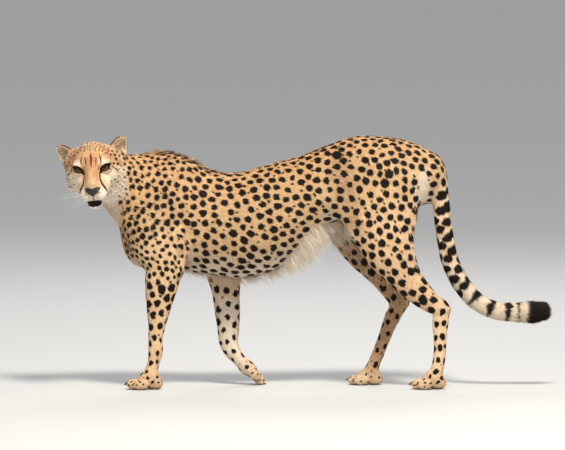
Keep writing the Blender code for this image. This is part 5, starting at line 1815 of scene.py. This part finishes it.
def claw_pieces():
    mat = claw_material()
    for part, (paw_at, size, slim, low) in PAWS.items():
        base, axes = paw_at
        lift = 0.0 if low else -0.0175
        points, faces, tips = [], [], []
        for f, o in TOES:
            start = base + (np.array([f + 0.0155 - (0 if low else 0.004), o * slim, 0.0195 + lift]) * size) @ axes
            s = np.linspace(0, 1, 9)
            reach = (axes[0][None] * (s * 0.0135)[:, None] - axes[2][None] * (0.0075 * s ** 1.8)[:, None]) * size
            path = start + reach
            path[:, 2] = np.maximum(path[:, 2], 0.0012)
            p, fc = tube_rows(path, 0.0027 * size * (1 - s ** 1.6) + 0.00025, 8, axes[2])
            faces.append(fc + sum(len(q) for q in points))
            points.append(p)
            tips.append(np.repeat(s, 8))
        p, fc = np.vstack(points), np.vstack(faces)
        me = joined("claws_" + part[4:], p, fc.ravel(), np.full(len(fc), 4))
        note(me, "tip", np.concatenate(tips))
        show("claws_" + part[4:], me, mat, "nose")


def whisker_piece():
    r = np.random.default_rng(12)
    points, faces, tips = [], [], []

    def hair(root, way, length, thick, drop):
        s = np.linspace(0, 1, 8)
        path = root + way[None] * (s * length)[:, None] + np.array([0, 0, -1.0])[None] * (drop * length * s ** 2)[:, None]
        p, fc = tube_rows(path, thick * (1 - 0.85 * s), 4)
        faces.append(fc + sum(len(q) for q in points))
        points.append(p)
        tips.append(np.repeat(s, 4))

    for side in (LEFT, RIGHT):
        for row in range(4):
            for k in range(4 if row in (0, 3) else 5):
                root = snapped([(0.068 - 0.0075 * k, -0.058 - 0.0060 * row - 0.0006 * k, side * (0.013 + 0.0062 * k))])[0]
                way = unit(HEAD[2] * side * (1.0 + 0.2 * r.random()) + HEAD[0] * (0.25 - 0.16 * k + 0.12 * r.normal())
                           + HEAD[1] * (0.10 - 0.14 * row + 0.08 * r.normal()))
                hair(root, way, 0.030 + 0.011 * k + 0.010 * r.random(), 0.00019, 0.16)
        for k in range(3):          # brow hairs
            root = snapped([(0.014, 0.020, side * (0.030 + 0.006 * k))])[0]
            way = unit(HEAD[1] * 0.9 + HEAD[2] * side * (0.3 + 0.3 * k) + HEAD[0] * 0.5)
            hair(root, way, 0.030 + 0.006 * k, 0.00016, 0.10)
    p, fc = np.vstack(points), np.vstack(faces)
    me = joined("whiskers", p, fc.ravel(), np.full(len(fc), 4))
    note(me, "tip", np.concatenate(tips))
    show("whiskers", me, whisker_material(), "coat")


claw_pieces()
whisker_piece()
clock("eyes, claws and whiskers")
# ---------------------------------------------------------------- the coat
PELT = {   # tufts per square millimetre, length and width in millimetres, lift in degrees
    "trunk": (0.44, 8.6, 1.35, 10), "neck": (0.50, 10.0, 1.25, 12), "tail": (0.50, 9.0, 1.2, 12), "head": (0.95, 6.5, 0.85, 11),
    "ear_left": (1.3, 5.0, 0.7, 12), "ear_right": (1.3, 5.0, 0.7, 12), "fore_left": (0.48, 7.5, 1.15, 9),
    "fore_right": (0.48, 7.5, 1.15, 9), "hind_left": (0.42, 8.5, 1.35, 9), "hind_right": (0.42, 8.5, 1.35, 9),
    "hock_left": (0.55, 6.0, 1.0, 9), "hock_right": (0.55, 6.0, 1.0, 9), "paw_fore_left": (0.75, 4.0, 0.8, 9),
    "paw_fore_right": (0.75, 4.0, 0.8, 9), "paw_hind_left": (0.75, 4.0, 0.8, 9), "paw_hind_right": (0.75, 4.0, 0.8, 9)}


def coat_plan():
    """How thick, long, wide and lifted the short coat is at each point of the skin."""
    p, n, h = skin_p, skin_n, skin_h
    rows = np.array([PELT[r] for r in REGIONS])
    many, length, width, lift = (skin_w @ rows).T
    head = share("head")

    def lay(weight, m=None, l=None, w=None, a=None):
        for values, v in ((many, m), (length, l), (width, w), (lift, a)):
            if v is not None:
                values += (v - values) * np.clip(weight, 0, 1)

    face = head * rise(h[:, 0], -0.030, 0.005) * rise(h[:, 1], -0.11, -0.09)
    lay(face, 1.7, 3.4, 0.55, 8)
    lay(head * rise(h[:, 0], 0.020, 0.050), 2.0, 2.6, 0.48, 8)
    near = np.zeros(len(p))
    for side in (LEFT, RIGHT):
        near = np.maximum(near, blob(h, (0.010, 0.003, side * 0.0405), (0.026, 0.018, 0.024)))
    lay(near * 1.5, 2.2, 1.9, 0.42, 7)
    lay(head * rise(h[:, 0], 0.0, -0.03) * rise(h[:, 1], -0.015, -0.045), 0.80, 10.5, 0.95, 13)
    lay(head * rise(n[:, 2], -0.2, -0.7) * rise(h[:, 0], 0.02, -0.02), 0.60, 13.0, 1.1, 12)
    lay(head * rise(h[:, 0], -0.050, -0.085), 0.60, 9.5, 1.1, 13)
    lay(NECKISH * rise(n[:, 1], -0.2, -0.8), None, 12.0, 1.3, 12)
    lay(BELLY, 0.34, 17.0, 1.2, 9)
    lay(HINDS * rise(n[:, 1], 0.3, 0.85), None, 10.5, 1.35, 11)
    lay(FORES * rise(n[:, 1], 0.3, 0.85) * rise(p[:, 2], 0.30, 0.38), None, 10.5, 1.3, 11)
    lay(TAILISH * rise(TAIL_S, 0.05, 0.45), None, 12.0, 1.2, 12)
    lay(TAILISH * rise(TAIL_S, 0.45, 0.66), None, 15.0, 1.2, 14)
    many[(PAWISH > 0.4) & (n[:, 2] < -0.5)] = 0
    many[WET > 0.25] = 0
    many[NOSE_EDGE < 0.0008] = 0
    for side in (LEFT, RIGHT):
        close = np.linalg.norm(p - LIDS[side].at, axis=1) < 0.026
        many[close & (LIDS[side].edge(p) < 0.0014)] = 0
    return many, length * 0.001, width * 0.001, lift


def roots(r, many):
    """Seeded roots, as many per area as asked for at the corners."""
    t = skin_p[skin_tri]
    area = np.linalg.norm(np.cross(t[:, 1] - t[:, 0], t[:, 2] - t[:, 0]), axis=1) / 2
    m = many[skin_tri]
    want = area * 1e6 * np.where((m > 0).all(1), m.mean(1), 0)
    count = np.floor(want + r.random(len(want))).astype(int)
    k = np.repeat(np.arange(len(want)), count)
    return k, weights_in(r, len(k))


class Tufts:
    """Roots of some tufts with all that they take from the skin."""

    def __init__(self, r, k, bary):
        self.k, self.bary, self.n_of = k, bary, len(k)
        self.p = at_roots(skin_p, k, bary)
        self.n = unit(at_roots(skin_n, k, bary))
        flow = at_roots(skin_flow, k, bary)
        self.flow = unit(flow - self.n * (flow * self.n).sum(1)[:, None])
        self.ground = at_roots(GROUND, k, bary)
        self.ink = at_roots(INK, k, bary)
        self.uv = (skin_uv[k] * bary[:, :, None]).sum(1)
        self.vary = np.clip(r.normal(0.5, 0.22, self.n_of), 0, 1)

    def keep(self, which):
        for name in ("k", "bary", "p", "n", "flow", "ground", "ink", "uv", "vary"):
            setattr(self, name, getattr(self, name)[which])
        self.n_of = len(self.p)


def turned(flow, n, angle):
    """Directions turned about the normals."""
    c, s = np.cos(angle)[:, None], np.sin(angle)[:, None]
    return flow * c + np.cross(n, flow) * s


pieces_made = []


def coat_piece(name, p, loops, sizes, ground, ink, vary, tip, uv):
    me = joined(name, p, loops, sizes)
    note(me, "ground", ground)
    note(me, "ink", ink)
    note(me, "vary", vary)
    note(me, "tip", tip)
    layer = me.uv_layers.new(name="OFBake")
    layer.data.foreach_set("uv", uv[loops].astype(np.float32).ravel())
    show(name, me, TUFT_COAT, "coat")
    pieces_made.append((name, int((np.asarray(sizes) - 2).sum())))


def short_coat():
    """Short tufts over the whole body: each a thin pointed blade bent once, so that it lies down."""
    r = np.random.default_rng(31)
    many, length, width, lift = coat_plan()
    k, bary = roots(r, many)
    t = Tufts(r, k, bary)
    long = at_roots(length, k, bary) * np.clip(r.normal(1.0, 0.20, t.n_of), 0.5, 1.5)
    wide = at_roots(width, k, bary) * np.clip(r.normal(1.0, 0.20, t.n_of), 0.5, 1.5)
    up = np.radians(at_roots(lift, k, bary) * np.clip(r.normal(1.0, 0.30, t.n_of), 0.3, 2.0))
    clump = 0.16 * ripple(t.p, 0.035, 61) + 0.10 * ripple(t.p, 0.012, 62)
    d = turned(t.flow, t.n, clump + r.normal(0, 0.13, t.n_of))
    roll = r.normal(0, 0.35, t.n_of)[:, None]
    side = unit(np.cross(t.n, d) * np.cos(roll) + t.n * np.sin(roll))
    rise_dir = d * np.cos(up)[:, None] + t.n * np.sin(up)[:, None]
    later = d * np.cos(up * 0.45)[:, None] + t.n * np.sin(up * 0.45)[:, None]
    root = t.p - t.n * 0.0006
    mid = root + rise_dir * (long * 0.42)[:, None] + t.n * 0.0003
    tip = mid + later * (long * 0.58)[:, None]
    tip[:, 2] = np.maximum(tip[:, 2], 0.0006)
    lines = at_roots(LINES, k, bary)
    dark = np.minimum(ink_of_spots(spots, t.p + d * (long * 0.45)[:, None], t.n, at_roots(SOFT_EDGE, k, bary)), lines)
    t.ink = dark + r.normal(0, 0.0004, t.n_of)
    p = np.stack([root, mid - side * wide[:, None] / 2, mid + side * wide[:, None] / 2, tip], 1)
    # grouped by where they are
    home = skin_w[skin_tri[k][:, 0]].argmax(1)
    name_of = np.array(REGIONS)[home]
    group = np.where(np.isin(name_of, ["trunk"]), "trunk", name_of)
    left = t.p[:, 0] > 0
    label = np.array([g if g not in ("trunk", "neck", "head", "tail") else g for g in group], dtype=object)
    for g in ("trunk", "neck", "head"):
        own = group == g
        label[own & left] = g + "_left"
        label[own & ~left] = g + "_right"
    for name in sorted(set(label)):
        ids = np.flatnonzero(label == name)
        ids = ids[np.argsort(t.p[ids, 1] + 0.15 * t.p[ids, 2], kind="stable")]
        parts = int(np.ceil(len(ids) * 2 / 190000))
        for i, own in enumerate(np.array_split(ids, parts)):
            m = len(own)
            corner = np.arange(m)[:, None] * 4
            loops = (corner + np.array([[0, 2, 1, 1, 2, 3]])).ravel()
            off = np.array([(0, -0.0015), (-0.0010, 0), (0.0010, 0), (0, 0.0015)])
            coat_piece("coat_%s%s" % (name, "" if parts == 1 else "_%d" % (i + 1)), p[own].reshape(-1, 3), loops,
                       np.full(m * 2, 3), np.repeat(t.ground[own], 4, 0), np.repeat(t.ink[own], 4), np.repeat(t.vary[own], 4),
                       np.tile([0.0, 0.45, 0.45, 1.0], m), (t.uv[own][:, None] + off[None]).reshape(-1, 2))


def locks(name, r, t, long, wide, up, ahead, sag=0.0, dark_tip=None, spread_by=0.16):
    """Long hair: tapering blades of three parts that sag as they go. Ahead is where each one points."""
    d = unit(ahead + r.normal(0, spread_by, (t.n_of, 3)))
    d = unit(d - t.n * np.minimum((d * t.n).sum(1), 0)[:, None])
    side = unit(np.cross(t.n, d) + r.normal(0, 0.25, (t.n_of, 3)))
    s = np.array([0.0, 0.34, 0.70, 1.0])
    w = np.array([0.6, 1.0, 0.6, 0.0])
    mid = (t.p - t.n * 0.0006)[:, None] + d[:, None] * (long[:, None] * s)[:, :, None]
    mid = mid + t.n[:, None] * (long[:, None] * np.sin(up)[:, None] * (s * (1.35 - 0.7 * s)))[:, :, None]
    mid[:, :, 2] -= sag * long[:, None] * s * s
    mid[:, :, 2] = np.maximum(mid[:, :, 2], 0.0006)
    half = side[:, None] * (wide[:, None] * w)[:, :, None] / 2
    p = np.concatenate([np.stack([mid[:, i] - half[:, i], mid[:, i] + half[:, i]], 1) for i in range(3)] + [mid[:, 3:]], 1)
    loops = (np.arange(t.n_of)[:, None] * 7 + np.array([[0, 1, 3, 0, 3, 2, 2, 3, 5, 2, 5, 4, 4, 5, 6]])).ravel()
    tip = np.tile([0.0, 0.0, 0.35, 0.35, 0.7, 0.7, 1.0], t.n_of)
    off = np.array([(-0.0009, -0.0015), (0.0009, -0.0015), (-0.0010, -0.0005), (0.0010, -0.0005), (-0.0007, 0.0006),
                    (0.0007, 0.0006), (0, 0.0015)])
    ink_values = np.repeat(t.ink, 7)
    if dark_tip is not None:
        drop = np.repeat(dark_tip, 7) * np.tile([0, 0, 0, 0, 0.6, 0.6, 1.0], t.n_of)
        ink_values = ink_values * (1 - drop) - 0.004 * drop
    coat_piece(name, p.reshape(-1, 3), loops, np.full(t.n_of * 5, 3), np.repeat(t.ground, 7, 0), ink_values,
               np.repeat(t.vary, 7), tip, (t.uv[:, None] + off[None]).reshape(-1, 2))


def pick(r, many):
    k, bary = roots(r, many)
    return Tufts(r, k, bary)


def long_coat():
    p, n, h = skin_p, skin_n, skin_h
    head = share("head")
    down = np.array([0.0, 0.0, -1.0])
    # fringe of the belly
    r = np.random.default_rng(41)
    under = BELLY * rise(n[:, 2], 0.05, -0.45) * rise(p[:, 1], -0.40, -0.34) * rise(p[:, 1], 0.16, 0.10)
    t = pick(r, 0.200 * under * (under > 0.05))
    reach = np.interp(t.p[:, 1], [-0.36, -0.30, -0.20, -0.125, -0.07, -0.02, 0.02, 0.07, 0.12],
                      [0.020, 0.026, 0.030, 0.033, 0.044, 0.056, 0.050, 0.034, 0.024])
    long = reach * np.clip(r.normal(0.80, 0.28, t.n_of), 0.3, 1.4)
    ahead = t.flow * 0.75 + down * 0.75 + np.array([0.0, 0.25, 0.0])
    t.ink = np.full(t.n_of, 0.01)
    # painted shade: the fringe darker under the chest, paler towards the back
    t.vary = np.clip(np.interp(t.p[:, 1], [-0.20, -0.11, -0.05], [0.22, 0.36, 0.90]) + r.normal(0, 0.14, t.n_of), 0.05, 1.0)
    locks("coat_belly_fringe", r, t, long, 0.0008 * np.clip(r.normal(1, 0.25, t.n_of), 0.5, 1.7), np.radians(r.normal(5, 6, t.n_of)), ahead,
          0.16, None, 0.32)
    # crest of the nape and withers
    r = np.random.default_rng(42)
    ridge = np.interp(p[:, 1], [-0.50, -0.40, -0.30, -0.22], [-0.006, -0.004, 0.0, 0.0])
    crest = (rise(n[:, 2], 0.55, 0.85) * rise(np.abs(p[:, 0] - ridge), 0.034, 0.016) * rise(p[:, 1], -0.53, -0.47)
             * rise(p[:, 1], -0.22, -0.32) * np.clip(NECKISH + TRUNKISH + 0.5 * head, 0, 1))
    t = pick(r, 0.30 * crest * (crest > 0.05))
    long = np.interp(t.p[:, 1], [-0.52, -0.44, -0.36, -0.24], [0.010, 0.017, 0.016, 0.010]) * np.clip(r.normal(1, 0.25, t.n_of), 0.5, 1.5)
    locks("coat_nape_crest", r, t, long, 0.0012 * np.clip(r.normal(1, 0.2, t.n_of), 0.5, 1.5), np.radians(r.normal(24, 8, t.n_of)), t.flow,
          0.02, np.clip(r.normal(0.50, 0.42, t.n_of), 0, 0.97))
    # chest, throat, elbows and backs of the thighs
    r = np.random.default_rng(43)
    chest = NECKISH * rise(n[:, 1], 0.0, -0.6) * rise(p[:, 2], 0.60, 0.56)
    chest = chest * rise(p[:, 2], 0.46, 0.52)
    back = HINDS * rise(n[:, 1], 0.45, 0.85) * rise(p[:, 2], 0.28, 0.36) * rise(p[:, 2], 0.70, 0.62)
    elbow = FORES * rise(n[:, 1], 0.45, 0.85) * rise(p[:, 2], 0.31, 0.36)
    w = np.maximum(np.maximum(chest, back), elbow)
    t = pick(r, 0.065 * w * (w > 0.05))
    t.ink = np.where((t.p[:, 1] < -0.36) & (t.p[:, 2] > 0.44), np.maximum(t.ink, 0.005), t.ink)
    long = np.where(t.p[:, 1] < -0.36, 0.012, 0.014) * np.clip(r.normal(1, 0.22, t.n_of), 0.5, 1.5)
    locks("coat_feathering", r, t, long, 0.0011 * np.clip(r.normal(1, 0.2, t.n_of), 0.5, 1.5), np.radians(r.normal(15, 5, t.n_of)),
          t.flow + down * 0.35, 0.06)
    # ruff of the cheeks and jaw
    r = np.random.default_rng(44)
    ruff = head * rise(h[:, 0], -0.010, -0.045) * rise(h[:, 1], -0.020, -0.055) * rise(h[:, 1], -0.155, -0.135)
    t = pick(r, 0.16 * ruff * (ruff > 0.05))
    long = 0.0115 * np.clip(r.normal(1, 0.22, t.n_of), 0.5, 1.5)
    locks("coat_cheeks", r, t, long, 0.0008 * np.clip(r.normal(1, 0.2, t.n_of), 0.5, 1.5), np.radians(r.normal(17, 5, t.n_of)),
          t.flow, 0.04)
    # ears: pale hair across the cup, and a soft edge
    r = np.random.default_rng(45)
    inner = np.zeros(len(p))
    rim = np.zeros(len(p))
    centre = np.zeros((len(p), 3))
    for side, part in ((LEFT, "ear_left"), (RIGHT, "ear_right")):
        at, axes, radii = ear_cup(side)
        q = (p - at) @ axes.T
        d = ellipsoid_distance(q, np.broadcast_to(radii, q.shape))
        w = share(part)
        inner = np.maximum(inner, w * (d < 0.0004) * rise(q[:, 2] * side, 0.004, -0.010))
        rim = np.maximum(rim, w * rise(np.abs(n @ axes[0]), 0.75, 0.35))
    t = pick(r, 0.30 * inner * (inner > 0.05))
    out = []
    for q in t.p:
        side = LEFT if q[0] > 0 else RIGHT
        at, axes, radii = ear_cup(side)
        out.append(axes[1] * 0.7 + axes[2] * side * 0.5 + axes[0] * 0.6)
    long = 0.0150 * np.clip(r.normal(1, 0.25, t.n_of), 0.5, 1.5)
    locks("coat_ears_inner", r, t, long, 0.0007 * np.ones(t.n_of), np.radians(r.normal(20, 6, t.n_of)), unit(np.array(out)), 0.0)
    t = pick(r, 1.0 * rim * (rim > 0.05))
    long = 0.0065 * np.clip(r.normal(1, 0.25, t.n_of), 0.5, 1.5)
    locks("coat_ears_edge", r, t, long, 0.0006 * np.ones(t.n_of), np.radians(r.normal(24, 8, t.n_of)), t.flow, 0.0)
    # end of the tail
    r = np.random.default_rng(46)
    end = TAILISH * rise(TAIL_S, 0.56, 0.64)
    t = pick(r, 0.34 * end * (end > 0.05))
    long = 0.0165 * np.clip(r.normal(1, 0.25, t.n_of), 0.5, 1.5)
    locks("coat_tail_end", r, t, long, 0.0010 * np.clip(r.normal(1, 0.2, t.n_of), 0.5, 1.5), np.radians(r.normal(12, 5, t.n_of)), t.flow, 0.06)


short_coat()
clock("short coat")
long_coat()
clock("long coat")
print("coat: %d triangles in %d pieces, the largest %d" % (sum(n for _, n in pieces_made), len(pieces_made), max(n for _, n in pieces_made)))
# ---------------------------------------------------------------- a last update of the view layer, and the end
def sizes():
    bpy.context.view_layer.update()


sizes()
clock("finished")
